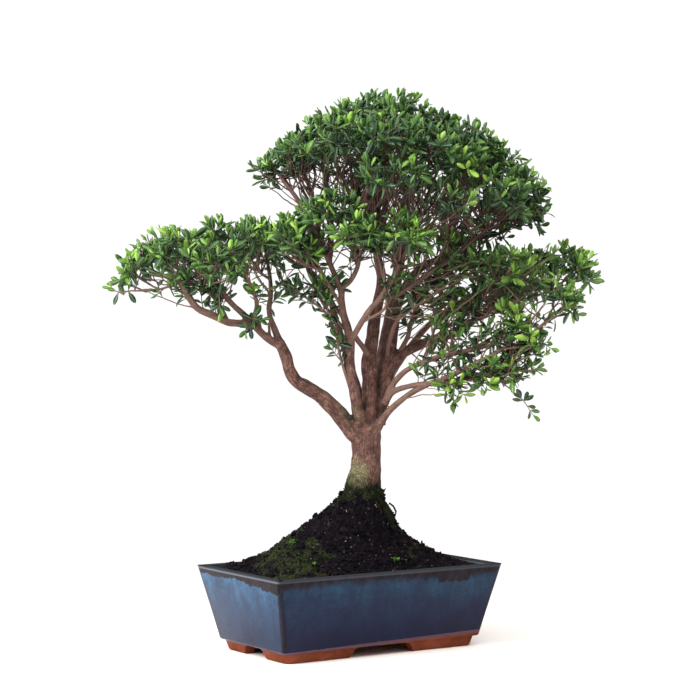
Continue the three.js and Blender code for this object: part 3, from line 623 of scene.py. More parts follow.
CRUMBS = 2600
PALE_GRAINS = 60
CLODS = 420
CRUMBS_REACH = (140.5 * MM, 78.5 * MM)  # half the length and depth inside the rim
rng = np.random.default_rng(11)


def scattered(count, weights):
    """Seeded places on the soil, more of them where the weight is higher."""
    return rng.choice(len(weights), size=count, replace=False, p=weights / weights.sum())


def turned_at_random(count):
    """Random turns, one matrix each."""
    axis = rng.normal(size=(count, 4))
    w, x, y, z = (axis / np.linalg.norm(axis, axis=1)[:, None]).T
    return np.stack(
        [
            np.stack([1 - 2 * (y * y + z * z), 2 * (x * y - z * w), 2 * (x * z + y * w)], 1),
            np.stack([2 * (x * y + z * w), 1 - 2 * (x * x + z * z), 2 * (y * z - x * w)], 1),
            np.stack([2 * (x * z - y * w), 2 * (y * z + x * w), 1 - 2 * (x * x + y * y)], 1),
        ],
        1,
    )


def shape_of(piece):
    """A finished mesh's corner places and its faces."""
    spots = np.zeros(len(piece.data.vertices) * 3)
    piece.data.vertices.foreach_get("co", spots)
    return spots.reshape(-1, 3), [tuple(face.vertices) for face in piece.data.polygons]


def object_from(name, spots, faces, material, values=(), smooth=True):
    """A new object from corners and faces, with a number or direction a corner for each attribute."""
    mesh = bpy.data.meshes.new(name)
    mesh.from_pydata(np.asarray(spots, float).tolist(), [], faces)
    for label, row in dict(values).items():
        row = np.asarray(row, np.float32)
        if row.ndim == 1:
            mesh.attributes.new(label, "FLOAT", "POINT").data.foreach_set("value", row)
        else:
            mesh.attributes.new(label, "FLOAT_VECTOR", "POINT").data.foreach_set("vector", row.ravel())
    mesh.polygons.foreach_set("use_smooth", [smooth] * len(mesh.polygons))
    mesh.materials.append(material)
    made = bpy.data.objects.new(name, mesh)
    bpy.context.scene.collection.objects.link(made)
    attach(made, "root")
    return made


def copies(spots, faces, turns, sizes, places):
    """One shape copied many times: its corners sized, turned and placed, and its faces."""
    count = len(places)
    sized = spots[None] * np.asarray(sizes).reshape(count, 1, -1)
    moved = np.einsum("nij,nvj->nvi", turns, sized) + places[:, None, :]
    step = len(spots)
    all_faces = [tuple(i + step * n for i in face) for n in range(count) for face in faces]
    return moved.reshape(-1, 3), all_faces


def rough_ball(subdivisions, roughness):
    """A lump of unit size: the corners and faces of a ball pushed in and out."""
    bpy.ops.object.select_all(action="DESELECT")
    bpy.ops.mesh.primitive_ico_sphere_add(subdivisions=subdivisions, radius=1)
    ball = bpy.context.object
    for vertex in ball.data.vertices:
        vertex.co *= 1 + roughness * noise.noise(vertex.co * 1.7)
    found = shape_of(ball)
    bpy.data.objects.remove(ball)
    return found


lump_spots, lump_faces = rough_ball(1, 0.35)
clod_spots, clod_faces = rough_ball(2, 0.8)
steepness = 1.3 - ground_normals[:, 2]


def strewn(count, shape, sizes, tones, sunk):
    """Lumps of one shape over the soil: corners, faces and a tone for each corner."""
    chosen = scattered(count, ground_areas * steepness)
    places = ground_spots[chosen] + ground_normals[chosen] * sizes[:, None] * sunk
    inside_rim = np.abs(places[:, 0] - POT_X) < CRUMBS_REACH[0]
    inside_rim &= np.abs(places[:, 1] - POT_Y) < CRUMBS_REACH[1]
    spots, faces = copies(
        *shape, turned_at_random(inside_rim.sum()), sizes[inside_rim], places[inside_rim]
    )
    return spots, faces, np.repeat(tones[inside_rim], len(shape[0]))


crumb_sizes = rng.uniform(0.5, 1.4, CRUMBS + PALE_GRAINS) ** 1.6 * MM
crumb_sizes[:PALE_GRAINS] = rng.uniform(0.35, 0.6, PALE_GRAINS) * MM
crumb_tone = rng.uniform(0, 0.78, CRUMBS + PALE_GRAINS)
crumb_tone[:PALE_GRAINS] = 1
crumbs = strewn(CRUMBS + PALE_GRAINS, (lump_spots, lump_faces), crumb_sizes, crumb_tone, 0.35)
clods = strewn(
    CLODS, (clod_spots, clod_faces), rng.uniform(1.3, 3.1, CLODS) * MM, rng.uniform(0, 0.6, CLODS), 0.1
)
spots = np.vstack([crumbs[0], clods[0]])
faces = crumbs[1] + [tuple(i + len(crumbs[0]) for i in face) for face in clods[1]]

# Crumbs of the same soil, some drier and browner, and washed grains of pumice and grit.
crumb_earth, tree, shader = new_material("dry_soil_crumbs_and_pale_grit")
place = add_node(tree, "TexCoord")
grain = grains(tree, place.outputs["Object"], 1.5 * MM, 4.0)
tone = of_mesh(tree, "tone")
tone = maths(tree, "MULTIPLY_ADD", grain, 0.22, tone)
colour = ramp(
    tree, tone, (0.1, "#030204"), (0.45, "#0B080C"), (0.7, "#1A1319"), (0.88, "#3C3035"), (1.0, "#948878")
)
feed(tree, shader, {"Base Color": colour, "Roughness": 0.9, "Specular IOR Level": 0.08})
tones = np.concatenate([crumbs[2], clods[2]])
crumbs = object_from("soil_crumbs", spots, faces, crumb_earth, {"tone": tones}, smooth=False)


# Moss: short dense green shoots on the mound's damp left flank and round the foot of the trunk.
# Each shoot is a tapered sliver that stands up from the soil.

MOSS_SHOOTS = 12500
THIRDS = (0, 2.0944, 4.18879)  # radians, a third of a turn apart


def moss_on(spots, normals, weights, count, reach=1.0):
    """Slivers that stand on a surface: their corners, faces and a tone for each corner."""
    chosen = scattered(min(count, int((weights > 0).sum())), weights)
    count = len(chosen)
    lift = normals[chosen] + rng.normal(size=(count, 3)) * 0.6 + (0, 0, 0.35)
    lift /= np.linalg.norm(lift, axis=1)[:, None]
    side = np.cross(lift, rng.normal(size=(count, 3)))
    side /= np.linalg.norm(side, axis=1)[:, None]
    third = np.cross(lift, side)
    long = rng.uniform(1.2, 3.6, count)[:, None] * MM * reach
    thick = rng.uniform(0.24, 0.46, count)[:, None] * MM
    base = spots[chosen] - lift * 0.5 * MM
    ring = [base + thick * (math.cos(a) * side + math.sin(a) * third) for a in THIRDS]
    faces = [
        tuple(4 * n + i for i in face)
        for n in range(count)
        for face in ((0, 1, 3), (1, 2, 3), (2, 0, 3), (2, 1, 0))
    ]
    tone = np.stack([np.zeros(count)] * 3 + [np.ones(count)], 1)
    tone = (tone * 0.6 + rng.uniform(0, 0.4, count)[:, None]).reshape(-1)
    return np.stack([*ring, base + lift * long], 1).reshape(-1, 3), faces, tone


spots, faces, shoot_tone = moss_on(
    ground_spots, ground_normals, ground_areas * moss_cover(ground_spots) ** 1.3, MOSS_SHOOTS
)

# Living moss: soft and matt, deep green at the base, yellow-green at the tips.
moss_green, tree, shader = new_material("living_cushion_moss")
tone = of_mesh(tree, "tone")
place = add_node(tree, "TexCoord")
patches = grains(tree, place.outputs["Object"], 14 * MM, 3.0)
shade = maths(tree, "MULTIPLY", patches, tone)
colour = ramp(tree, shade, (0.0, "#080C05"), (0.2, "#1B220F"), (0.4, "#3D4A20"), (0.6, "#7A8A40"))
feed(tree, shader, {"Base Color": colour, "Roughness": 0.8, "Specular IOR Level": 0.25})
moss = object_from("moss_shoots", spots, faces, moss_green, {"tone": shoot_tone})


# The wood: one grown piece, from the foot and three surface roots over the short trunk to the branches.
# Myrtle bark is thin, pinkish brown and split into fine upright strips, mossy where it stays damp.

# routes of [right, away, up, width] in mm, as seen from the tree's front
TRUNK = [
  [17, 0, 150, 50], [16, 0, 172, 51], [15, 0, 184, 47], [16, 0, 194, 40.5],
  [18, 0, 207, 37], [19, 0, 229, 33.5], [19, 0, 247, 35], [20, 0, 264, 33],
]
ROOTS = [
  [[17, 0, 190, 22], [33, -12, 174, 15], [44, -18, 158, 10], [52, -22, 140, 6]],
  [[17, 0, 190, 22], [-4, -14, 176, 14], [-18, -20, 158, 10], [-30, -26, 142, 6]],
  [[17, 0, 190, 22], [20, 20, 176, 14], [22, 34, 158, 10], [24, 44, 142, 6]],
]
LIMBS = {
  # the low left limb, with its elbow
  "left_limb": [
    [15, -2, 245, 24], [0, -4, 259.5, 21.5], [-15, -9, 277.5, 19], [-33, -15, 295, 17.5],
    [-49, -20, 306, 16.5], [-62, -24, 314, 15.5], [-70, -28, 327, 14.5], [-75, -31, 345, 14],
    [-82, -33, 360, 12.5],
  ],
  # its upright fork
  "left_fork_up": [
    [-80, -32, 355, 10.5], [-86, -30, 371, 8.5], [-94, -24, 394, 6.5], [-92, -18, 418, 5.5],
    [-97, -10, 457, 4], [-102, -6, 478, 3],
  ],
  "left_fork_up_side": [[-94, -15, 433, 3.5], [-105, -22, 441, 3.2], [-119, -34, 464, 2.4]],
  # its outward fork
  "left_fork_out": [
    [-81, -33, 356, 10.5], [-95, -38, 364, 9.5], [-120, -48, 389, 8], [-141, -55, 410, 6.5],
    [-158, -57, 437, 5], [-172, -54, 452, 3.8],
  ],
  # the lowest branch of the left pad
  "left_low": [
    [-108, -44, 378, 8.6], [-121, -50, 381, 9], [-140, -58, 383, 9], [-157, -64, 391, 8.8],
    [-174, -68, 399, 8.4], [-184, -71, 412, 7.8], [-194, -73, 428, 6], [-208, -70, 443, 3.8],
  ],
  "left_low_back": [
    [-140, -56, 383, 5.2], [-151, -40, 403, 4.6], [-167, -15, 420, 4.2], [-182, 15, 441, 3.4],
  ],
  # the long twig to the furthest left
  "left_tip": [
    [-148, -60, 388, 5], [-156, -60, 414, 5], [-172, -62, 423, 4.6], [-191, -64, 428, 3.4],
    [-221, -60, 420, 2.5], [-250, -57, 419, 2],
  ],
  "left_rise": [[-113, -46, 383, 5.8], [-107, -50, 402, 5.3], [-118, -78, 437, 3.4]],
  # the left one of the upright stems
  "stem_left": [
    [13, -5, 256, 21], [9, -12, 278, 14.5], [6, -15, 296, 12.5], [2, -19, 318, 12.5],
    [-1, -23, 339, 13], [0, -27, 360, 12.5],
  ],
  "stem_left_up": [[0, -27, 357, 11.5], [-3, -31, 376, 10], [-9, -36, 399, 8.6], [-10, -40, 427, 7.6]],
  "stem_left_fork": [
    [-12, -40, 422, 7], [-1, -44, 429, 6.2], [10, -54, 454, 4.6], [2, -62, 470, 4],
    [-6, -74, 490, 3],
  ],
  # the bare branch that rises to the crown's left edge
  "crown_left": [
    [-10, -38, 418, 7.4], [-20, -46, 443, 7], [-32, -52, 469, 6.4], [-45, -52, 493, 5.8],
    [-56, -46, 517, 5.4], [-69, -38, 536, 5], [-81, -30, 551, 3.8],
  ],
  "crown_left_inner": [[-29, -50, 464, 5], [-36, -46, 491, 4.8], [-47, -34, 538, 4.4], [-56, -28, 559, 3.2]],
  "crown_left_stem": [
    [-24, -48, 452, 7.4], [-22, -40, 482, 7.6], [-23, -32, 510, 7.4], [-27, -26, 538, 7],
    [-35, -20, 585, 3],
  ],
  # the branch that crosses in front of the stems
  "crossing": [
    [1, -30, 360, 7.4], [9, -40, 375, 7.4], [22, -50, 396, 7.4], [36, -56, 412, 7],
    [57, -66, 450, 5.5], [69, -84, 481, 3],
  ],
  "crossing_twig": [[14, -44, 383, 4.2], [40, -56, 399, 3.2], [41, -60, 418, 2.8], [29, -84, 470, 2.2]],
  # the thin bare branch left of the stems
  "hang_twig": [
    [0, -18, 306, 4], [-12, -30, 345, 3.2], [-16, -36, 367, 3], [-28, -42, 393, 2.8],
    [-62, -42, 418, 2.4], [-84, -32, 428, 2.4],
  ],
  # the fan of thin branches towards the left pad
  "fan_one": [[-2, -29, 370, 4.2], [-30, -36, 403, 3.8], [-42, -34, 427, 3.5], [-58, -26, 471, 2.6]],
  "fan_two": [[-5, -30, 383, 4.2], [-19, -24, 404, 4], [-40, 2, 453, 3.5], [-51, 16, 472, 2.6]],
  "fan_three": [[-9, -34, 399, 4], [-35, -60, 445, 3.4], [-52, -76, 474, 2.4]],
  # the middle stem, up into the crown
  "stem_middle": [
    [21, 0, 258, 23.5], [23, 2, 289, 18.5], [22.5, 4, 317, 17.5], [22, 5, 336, 18],
    [26, 8, 361, 15.5], [29, 11, 387, 14.5], [35, 14, 415, 12.5], [37, 16, 439, 11.5],
    [32, 18, 463, 10], [35, 20, 491, 8], [43, 22, 526, 6.5], [46, 22, 559, 5], [46, 20, 590, 3.4],
  ],
  "stem_link": [[22, 4, 341, 7.5], [14, -10, 355, 7], [5, -24, 367, 6.5]],
  "crown_front_left": [[33, 16, 458, 6], [19, 0, 486, 5.2], [8, -20, 515, 5], [0, -55, 565, 3]],
  "crown_middle_front": [[35, 18, 491, 5.2], [26, -6, 516, 4.7], [32, -60, 564, 3]],
  "crown_back_left": [[32, 20, 467, 6], [17, 44, 496, 5], [2, 62, 528, 4.2], [-12, 72, 562, 3]],
  "crown_top": [[43, 22, 524, 5.2], [52, 18, 559, 4.5], [63, 10, 610, 2.8]],
  # the right one of the upright stems
  "stem_right": [
    [33, 5, 262, 18], [38, 10, 295, 14.7], [41, 15, 323, 15.3], [47, 19, 349, 14.6],
    [51, 24, 375, 13.5], [56, 28, 404, 12], [65, 32, 424, 10.7], [83, 36, 445, 9.5],
    [107, 38, 459, 8], [126, 40, 476, 7], [138, 40, 499, 5.8], [152, 34, 558, 3.2],
  ],
  "crown_stem": [
    [54, 27, 401, 7.6], [58, 24, 432, 7.3], [63, 20, 463, 7], [66, 16, 493, 6], [69, 8, 526, 5.2],
    [77, -2, 584, 3],
  ],
  "crown_stem_side": [[66, 16, 493, 5], [82, 2, 514, 4.5], [103, -40, 561, 3]],
  "crown_right_up": [[126, 38, 476, 5], [118, 4, 530, 4], [114, -12, 584, 2.8]],
  "crown_right_out": [[143, 38, 515, 4.5], [182, 22, 531, 3.5], [200, 14, 545, 2.8]],
  # the branch along the crown's lower right edge
  "crown_right_low": [[114, 38, 463, 6], [135, 28, 476, 5.5], [179, 2, 488, 4], [196, -6, 500, 3]],
  "crown_right_back": [[107, 38, 459, 5.7], [120, 62, 485, 4.8], [148, 92, 544, 3]],
  # a branch in front that rakes to the upper right
  "raking": [
    [43, 15, 340, 5.4], [48, -3, 367, 5.6], [61, -10, 393, 5.1], [98, -16, 429, 4.4],
    [140, -18, 456, 3],
  ],
  "raking_upper": [
    [35, -55, 411, 5.5], [50, -50, 413, 6], [76, -38, 428, 6], [97, -32, 443, 5.6], [118, -32, 457, 4.6],
    [158, -52, 491, 3],
  ],
  # the heavy right limb
  "right_limb": [
    [40, 8, 293, 16.5], [46, 14, 321, 15.3], [59, 20, 343, 13.5], [76, 25, 352, 12],
    [99, 31, 361, 11.5], [125, 37, 370, 11.2], [148, 42, 384, 9], [174, 46, 402, 7.4],
    [203, 46, 417, 5.7], [232, 40, 433, 3.8],
  ],
  "right_limb_fork": [[58, 18, 346, 6], [68, 14, 365, 6], [74, 16, 389, 4.7], [93, 32, 427, 2.8]],
  "right_limb_up": [[125, 36, 370, 5.2], [138, 44, 392, 4.5], [175, 62, 430, 3]],
  "right_limb_rise": [[98, 30, 361, 5.5], [113, 12, 375, 4.5], [156, -12, 408, 3.5], [179, -18, 427, 2.8]],
  "right_limb_end": [[174, 46, 402, 5], [197, 28, 406, 4.3], [238, -2, 420, 2.6]],
  # the three low right branches
  "right_upper": [
    [41, -5, 287, 9.4], [48, -10, 306, 7.7], [63, -16, 324, 6.8], [90, -24, 338, 6.5],
    [118, -30, 346, 6], [146, -34, 352, 5], [173, -38, 359, 3.6],
  ],
  "right_middle": [
    [40, -8, 287, 9.4], [50, -14, 301, 7.2], [69, -20, 308, 6.5], [102, -30, 314, 7],
    [127, -38, 326, 5.8], [150, -42, 338, 4.6], [178, -44, 353, 3.7], [201, -42, 374, 2.8],
  ],
  "right_low": [
    [24, -3, 244, 13], [33, -6, 260, 11.7], [43, -10, 275, 8.4], [63, -16, 294, 7.2], [91, -26, 311, 7],
    [122, -32, 315, 5.8], [155, -38, 321, 5], [173, -40, 330, 4.5], [187, -42, 348, 4.3],
    [208, -42, 368, 3.7], [229, -40, 386, 3],
  ],
  "right_low_tuft": [[155, -38, 321, 3.2], [182, -40, 314, 2.4]],
  # three limbs behind
  "back_left": [
    [18, 8, 260, 14], [12, 22, 290, 12], [0, 42, 330, 10], [-14, 60, 375, 8.4],
    [-28, 72, 416, 7], [-70, 82, 471, 4],
  ],
  "back_middle": [
    [25, 10, 269, 13], [30, 28, 304, 11], [39, 52, 356, 9.6], [48, 70, 403, 8],
    [56, 84, 452, 6.5], [63, 92, 498, 5], [67, 94, 539, 3.4],
  ],
  "back_right": [
    [33, 12, 286, 12], [47, 30, 316, 10], [69, 50, 349, 8.4], [96, 66, 379, 6.7],
    [128, 78, 403, 5.3], [160, 84, 420, 3.6],
  ],
  "back_crown": [[56, 84, 452, 5.3], [34, 94, 486, 4.6], [0, 96, 549, 2.8]],
}
# the dark knob in the low fork, and a cut stub on the left limb: right, away, up, length, width in mm
BURRS = [(1, -20, 269, 6, 8), (-93, -36, 366, 17, 4.6), (-104, -40, 377, 9, 5)]

SAMPLE = 3.0  # mm between the rings of a limb
BURR_SAMPLE = 1.5
THICK = 6.4  # limbs over this width grow together with a smooth fork
WOOD_VOXEL = 1.25 * MM


def flow(points, step):
    """A smooth line through [right, away, up, width] points, sampled about every step, in mm."""
    given = np.array(points, float)
    ends = np.vstack([2 * given[0] - given[1], given, 2 * given[-1] - given[-2]])
    rows = []
    for i in range(len(given) - 1):
        p0, p1, p2, p3 = (ends[i + k, :3] for k in range(4))
        legs = (p1 - p0, p2 - p1, p3 - p2)
        d0, d1, d2 = (math.sqrt(max(np.linalg.norm(leg), 1e-6)) for leg in legs)
        t1 = ((p1 - p0) / d0 - (p2 - p0) / (d0 + d1) + (p2 - p1) / d1) * d1
        t2 = ((p2 - p1) / d1 - (p3 - p1) / (d1 + d2) + (p3 - p2) / d2) * d1
        parts = max(1, round(np.linalg.norm(p2 - p1) / step))
        for k in range(parts + (i == len(given) - 2)):
            t = k / parts
            spot = p1 + t1 * t + (3 * (p2 - p1) - 2 * t1 - t2) * t * t + (2 * (p1 - p2) + t1 + t2) * t**3
            rows.append([*spot, given[i, 3] + (given[i + 1, 3] - given[i, 3]) * t])
    return np.array(rows)


def in_frame(rows):
    """Rows of [right, away, up, width] in mm as places in metres in the object's frame, and radii."""
    spots = np.stack(
        [
            (rows[:, 0] * FRONT_COS + rows[:, 1] * FRONT_SIN) * MM + POT_X,
            (rows[:, 1] * FRONT_COS - rows[:, 0] * FRONT_SIN) * MM + POT_Y,
            rows[:, 2] * MM,
        ],
        1,
    )
    return spots, rows[:, 3] / 2 * MM


def ring_axes(spots):
    """Two directions across a line at each of its points, carried along without a twist."""
    along = np.gradient(spots, axis=0)
    along /= np.linalg.norm(along, axis=1)[:, None]
    across = np.cross(along[0], (0.3, 1, 0.2))
    rows = []
    for direction in along:
        across = across - direction * across.dot(direction)
        across /= np.linalg.norm(across)
        rows.append(across)
    across = np.array(rows)
    return along, across, np.cross(along, across)


def tube(spots, radii, sides):
    """A round stem along its points, closed at both ends: its corners and faces."""
    _, across, beside = ring_axes(spots)
    angles = np.arange(sides) * 2 * math.pi / sides
    rings = spots[:, None] + radii[:, None, None] * (
        np.cos(angles)[None, :, None] * across[:, None] + np.sin(angles)[None, :, None] * beside[:, None]
    )
    last = (len(spots) - 1) * sides
    faces = [
        (row + i, row + (i + 1) % sides, row + sides + (i + 1) % sides, row + sides + i)
        for row in range(0, last, sides)
        for i in range(sides)
    ]
    faces.append(tuple(range(sides - 1, -1, -1)))
    faces.append(tuple(last + i for i in range(sides)))
    return rings.reshape(-1, 3), faces


class Stock:
    """Shapes gathered for one mesh."""

    def __init__(self):
        self.spots, self.faces, self.count = [], [], 0

    def add(self, spots, faces):
        self.spots.append(spots)
        self.faces.extend(tuple(i + self.count for i in face) for face in faces)
        self.count += len(spots)


routes = {"trunk": TRUNK, **{f"root_{i}": root for i, root in enumerate(ROOTS)}, **LIMBS}
noise.seed_set(7)  # how stems and twigs wander is then the same in each run
centre_lines = {}
for name, points in routes.items():
    rows = flow(points, SAMPLE)
    sway = min(0.5, rows[:, 3].min() * 0.1)
    for i, row in enumerate(rows):
        wander = noise.noise_vector(Vector(row[:3]) / 17)
        rows[i, :3] += np.array(wander) * sway * min(1, i / 4)
        rows[i, 3] *= 1 + 0.07 * noise.noise(Vector(row[:3]) / 9)
    centre_lines[name] = rows

# the stout wood, drawn as stems that grow into each other
stout, slim = Stock(), Stock()
for name, rows in centre_lines.items():
    thick = rows[:, 3] > THICK
    stop = len(rows) if thick.all() else int(np.argmin(thick))
    if stop > 2:
        spots, radii = in_frame(rows[:stop])
        stout.add(*tube(spots, radii, 16))
    if stop < len(rows):
        spots, radii = in_frame(rows[max(0, stop - 2) :])
        slim.add(*tube(spots, radii, 8))
for right, away, up, long, wide in BURRS:
    tip = (right - 1, away - 1, up + long, wide * 0.8)
    spots, radii = in_frame(flow([(right, away, up, wide), tip], BURR_SAMPLE))
    stout.add(*tube(spots, radii, 12))

bark_stub = bpy.data.materials.new("bark_later")
wood = object_from("myrtle_wood", np.vstack(stout.spots), stout.faces, bark_stub)
choose(wood)
merge = wood.modifiers.new("grown_together", "REMESH")
merge.mode = "VOXEL"
merge.voxel_size = WOOD_VOXEL
bpy.ops.object.modifier_apply(modifier=merge.name)
ease = wood.modifiers.new("eased_forks", "CORRECTIVE_SMOOTH")
ease.use_only_smooth = True
ease.factor = 0.5
ease.iterations = 4
bpy.ops.object.modifier_apply(modifier=ease.name)

# where each point of the bark lies along and around its stem
line_spots, line_axes, line_run, line_radius = [], [], [], []
for rows in centre_lines.values():
    spots, radii = in_frame(rows)
    along, across, beside = ring_axes(spots)
    line_spots.append(spots)
    line_axes.append(np.stack([across, beside], 1))
    line_run.append(np.concatenate([[0], np.cumsum(np.linalg.norm(np.diff(spots, axis=0), axis=1))]))
    line_radius.append(radii)
line_spots, line_axes = np.vstack(line_spots), np.vstack(line_axes)
line_run, line_radius = np.concatenate(line_run), np.concatenate(line_radius)
near_line = kdtree.KDTree(len(line_spots))
for i, spot in enumerate(line_spots):
    near_line.insert(spot, i)
near_line.balance()


def grain_at(spots):
    """Places on the bark as (around, around, along its stem), in metres, and the stem's radius there."""
    chosen = []
    for spot in spots:
        hits = near_line.find_n(spot, 7)
        chosen.append(min(hits, key=lambda hit: hit[2] - line_radius[hit[1]])[1])
    offset = spots - line_spots[chosen]
    across = np.einsum("ij,ij->i", offset, line_axes[chosen, 0])
    beside = np.einsum("ij,ij->i", offset, line_axes[chosen, 1])
    out = np.maximum(np.hypot(across, beside), 1e-6)
    scale = line_radius[chosen] / out
    return np.stack([across * scale, beside * scale, line_run[chosen]], 1), line_radius[chosen]


stout_spots, stout_faces = shape_of(wood)
stout_normals = np.zeros(len(stout_spots) * 3)
wood.data.vertices.foreach_get("normal", stout_normals)
stout_normals = stout_normals.reshape(-1, 3)
bpy.data.objects.remove(wood)
grain, radius = grain_at(stout_spots)


def along_grain(place, across, run):
    """Noise drawn out along the stem: its width across the grain and its length along it."""
    return noise.noise(Vector((place[0] / across, place[1] / across, place[2] / run)))


STRIP, CRACK = (0.0042, 0.03), (0.0016, 0.008)  # m across and along
relief = np.array([0.42 - abs(along_grain(g, *STRIP)) * 1.7 + 0.5 * along_grain(g, *CRACK) for g in grain])
swell = np.array([noise.noise(Vector(spot) / (13 * MM)) for spot in stout_spots])
depth = np.minimum(0.36 * MM, radius * 0.024)
lift = relief * depth + swell * np.minimum(1.3 * MM, radius * 0.08)
stout_spots = stout_spots + stout_normals * lift[:, None]

# the foot and the surface roots are crusted with the same soil as the mound, up to this height
CRUST_TOP, CRUST_FADE = 191 * MM, 9 * MM
crusted = np.clip((CRUST_TOP - stout_spots[:, 2]) / CRUST_FADE, 0, 1)
for i in np.nonzero(crusted)[0]:
    stout_spots[i] += stout_normals[i] * rough_ground(Vector(stout_spots[i])) * crusted[i]

slim_spots = np.vstack(slim.spots)
slim_grain, slim_radius = grain_at(slim_spots)
offset = len(stout_spots)
wood_faces = stout_faces + [tuple(i + offset for i in face) for face in slim.faces]
wood_spots = np.vstack([stout_spots, slim_spots])

# Myrtle bark: matt, pinkish brown, flaking in fine strips 3 to 4 mm wide, dark in the splits.
bark, tree, shader = new_material("flaking_myrtle_bark")
place = add_node(tree, "TexCoord")
along_stem = add_node(tree, "Attribute", attribute_name="grain").outputs["Vector"]
strips_at = add_node(tree, "Mapping", {"Vector": along_stem, "Scale": (1, 1, 0.24)}).outputs[0]
strips = grains(tree, strips_at, 1.7 * MM, 5.0, 0.66)
fine = grains(tree, place.outputs["Object"], 1.3 * MM, 4.0, 0.7)
blotch = grains(tree, place.outputs["Object"], 9 * MM, 5.0, 0.6)
tone = maths(tree, "MULTIPLY_ADD", strips, 1.15, blotch)
tone = maths(tree, "MULTIPLY_ADD", fine, 1.1, tone)
tone = spread(tree, tone, 1.25, 1.99)
colour = ramp(
    tree,
    tone,
    (0.05, "#21150F"),
    (0.3, "#412B25"),
    (0.52, "#593B33"),
    (0.72, "#704D42"),
    (0.95, "#917061"),
)
# the youngest wood is greyer and pinker; high up it is painted darker, a painted shade under the crown
axes = add_node(tree, "SeparateXYZ", {0: place.outputs["Object"]})
painted_shade_high_up = spread(tree, axes.outputs["Z"], 430 * MM, 500 * MM)
young_wood_tone_and_shade = mix(tree, painted_shade_high_up, "#82675B", "#503A37")
girth = of_mesh(tree, "girth")
young_wood = spread(tree, girth, 1.2 * MM, 7 * MM, 0.7, 0.0)
colour = mix(tree, young_wood, colour, young_wood_tone_and_shade)
# green algae and moss: on the damp left of the foot, thinner on what faces up
low_down = of_mesh(tree, "algae")
facing = add_node(tree, "SeparateXYZ", {0: place.outputs["Normal"]})
on_top = spread(tree, facing.outputs["Z"], 0.1, 0.8, 0, 0.55)
stout_only = spread(tree, girth, 3 * MM, 6 * MM)
on_top = maths(tree, "MULTIPLY", on_top, stout_only)
damp = maths(tree, "ADD", low_down, on_top)
patches = grains(tree, place.outputs["Object"], 11 * MM, 6.0, 0.65)
damp = maths(tree, "MULTIPLY_ADD", patches, 1.9, damp)
damp = spread(tree, damp, 1.4, 2.0, 0, 0.8)
green = ramp(tree, fine, (0.3, "#262B17"), (0.46, "#565636"), (0.58, "#7F7A58"), (0.7, "#A39B78"))
colour = mix(tree, damp, colour, green)
# soil splashed and grown up the foot and over the surface roots
splash = maths(tree, "MULTIPLY_ADD", patches, 36 * MM, axes.outputs["Z"])
splash = spread(tree, splash, 208 * MM, 226 * MM, 1.0, 0.0)
soiled = ramp(tree, fine, (0.35, "#080706"), (0.52, "#12160D"), (0.68, "#252E18"))
colour = mix(tree, splash, colour, soiled)
# painted shade: the grooves where stems meet, and other hollows that little light reaches, are painted dark
painted_groove_shade = add_node(tree, "AmbientOcclusion", {"Distance": 14 * MM}, samples=6, only_local=True)
painted_groove_shade = spread(tree, painted_groove_shade.outputs["AO"], 0.25, 0.72, 0.8, 0.0)
colour = mix(tree, painted_groove_shade, colour, "#1B1210")
# the healed scar in the low fork is nearly black
scar = of_mesh(tree, "scar")
colour = mix(tree, scar, colour, "#15110F")
# the tips of this year's shoots are still green
soft_tip = spread(tree, girth, 0.38 * MM, 0.5 * MM, 0.75, 0.0)
colour = mix(tree, soft_tip, colour, "#66702E")
bump = add_node(tree, "Bump", {"Height": tone, "Strength": 0.45, "Distance": 0.6 * MM}).outputs[0]
shine = spread(tree, splash, 0, 1, 0.35, 0.04)
feed(tree, shader, {"Base Color": colour, "Normal": bump, "Roughness": 0.78, "Specular IOR Level": shine})

right, away, up = front_view(wood_spots)
knob_right, knob_away, knob_up = BURRS[0][:3]
knob_far = np.sqrt((right - knob_right) ** 2 + (away - knob_away + 3) ** 2 + (up - knob_up - 4) ** 2)
algae = np.clip((236 - up) / 24, 0, 1) * np.clip((27 - right) / 11, 0, 1) * np.clip((up - 176) / 10, 0, 1)
algae = np.maximum(algae, 0.6 * np.clip((26 - knob_far) / 14, 0, 1))
wood = object_from(
    "myrtle_wood",
    wood_spots,
    wood_faces,
    bark,
    {
        "grain": np.vstack([grain, slim_grain]),
        "girth": np.concatenate([radius, slim_radius]),
        "scar": np.clip((7 - knob_far) / 2.5, 0, 0.92),
        "algae": algae,
    },
)
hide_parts("trunk_and_branches")


# The twigs: fine red-brown shoots that fork from the branches and carry the leaves at their ends.
# They stand close together and nearly upright under the crown, so that light shows between them.

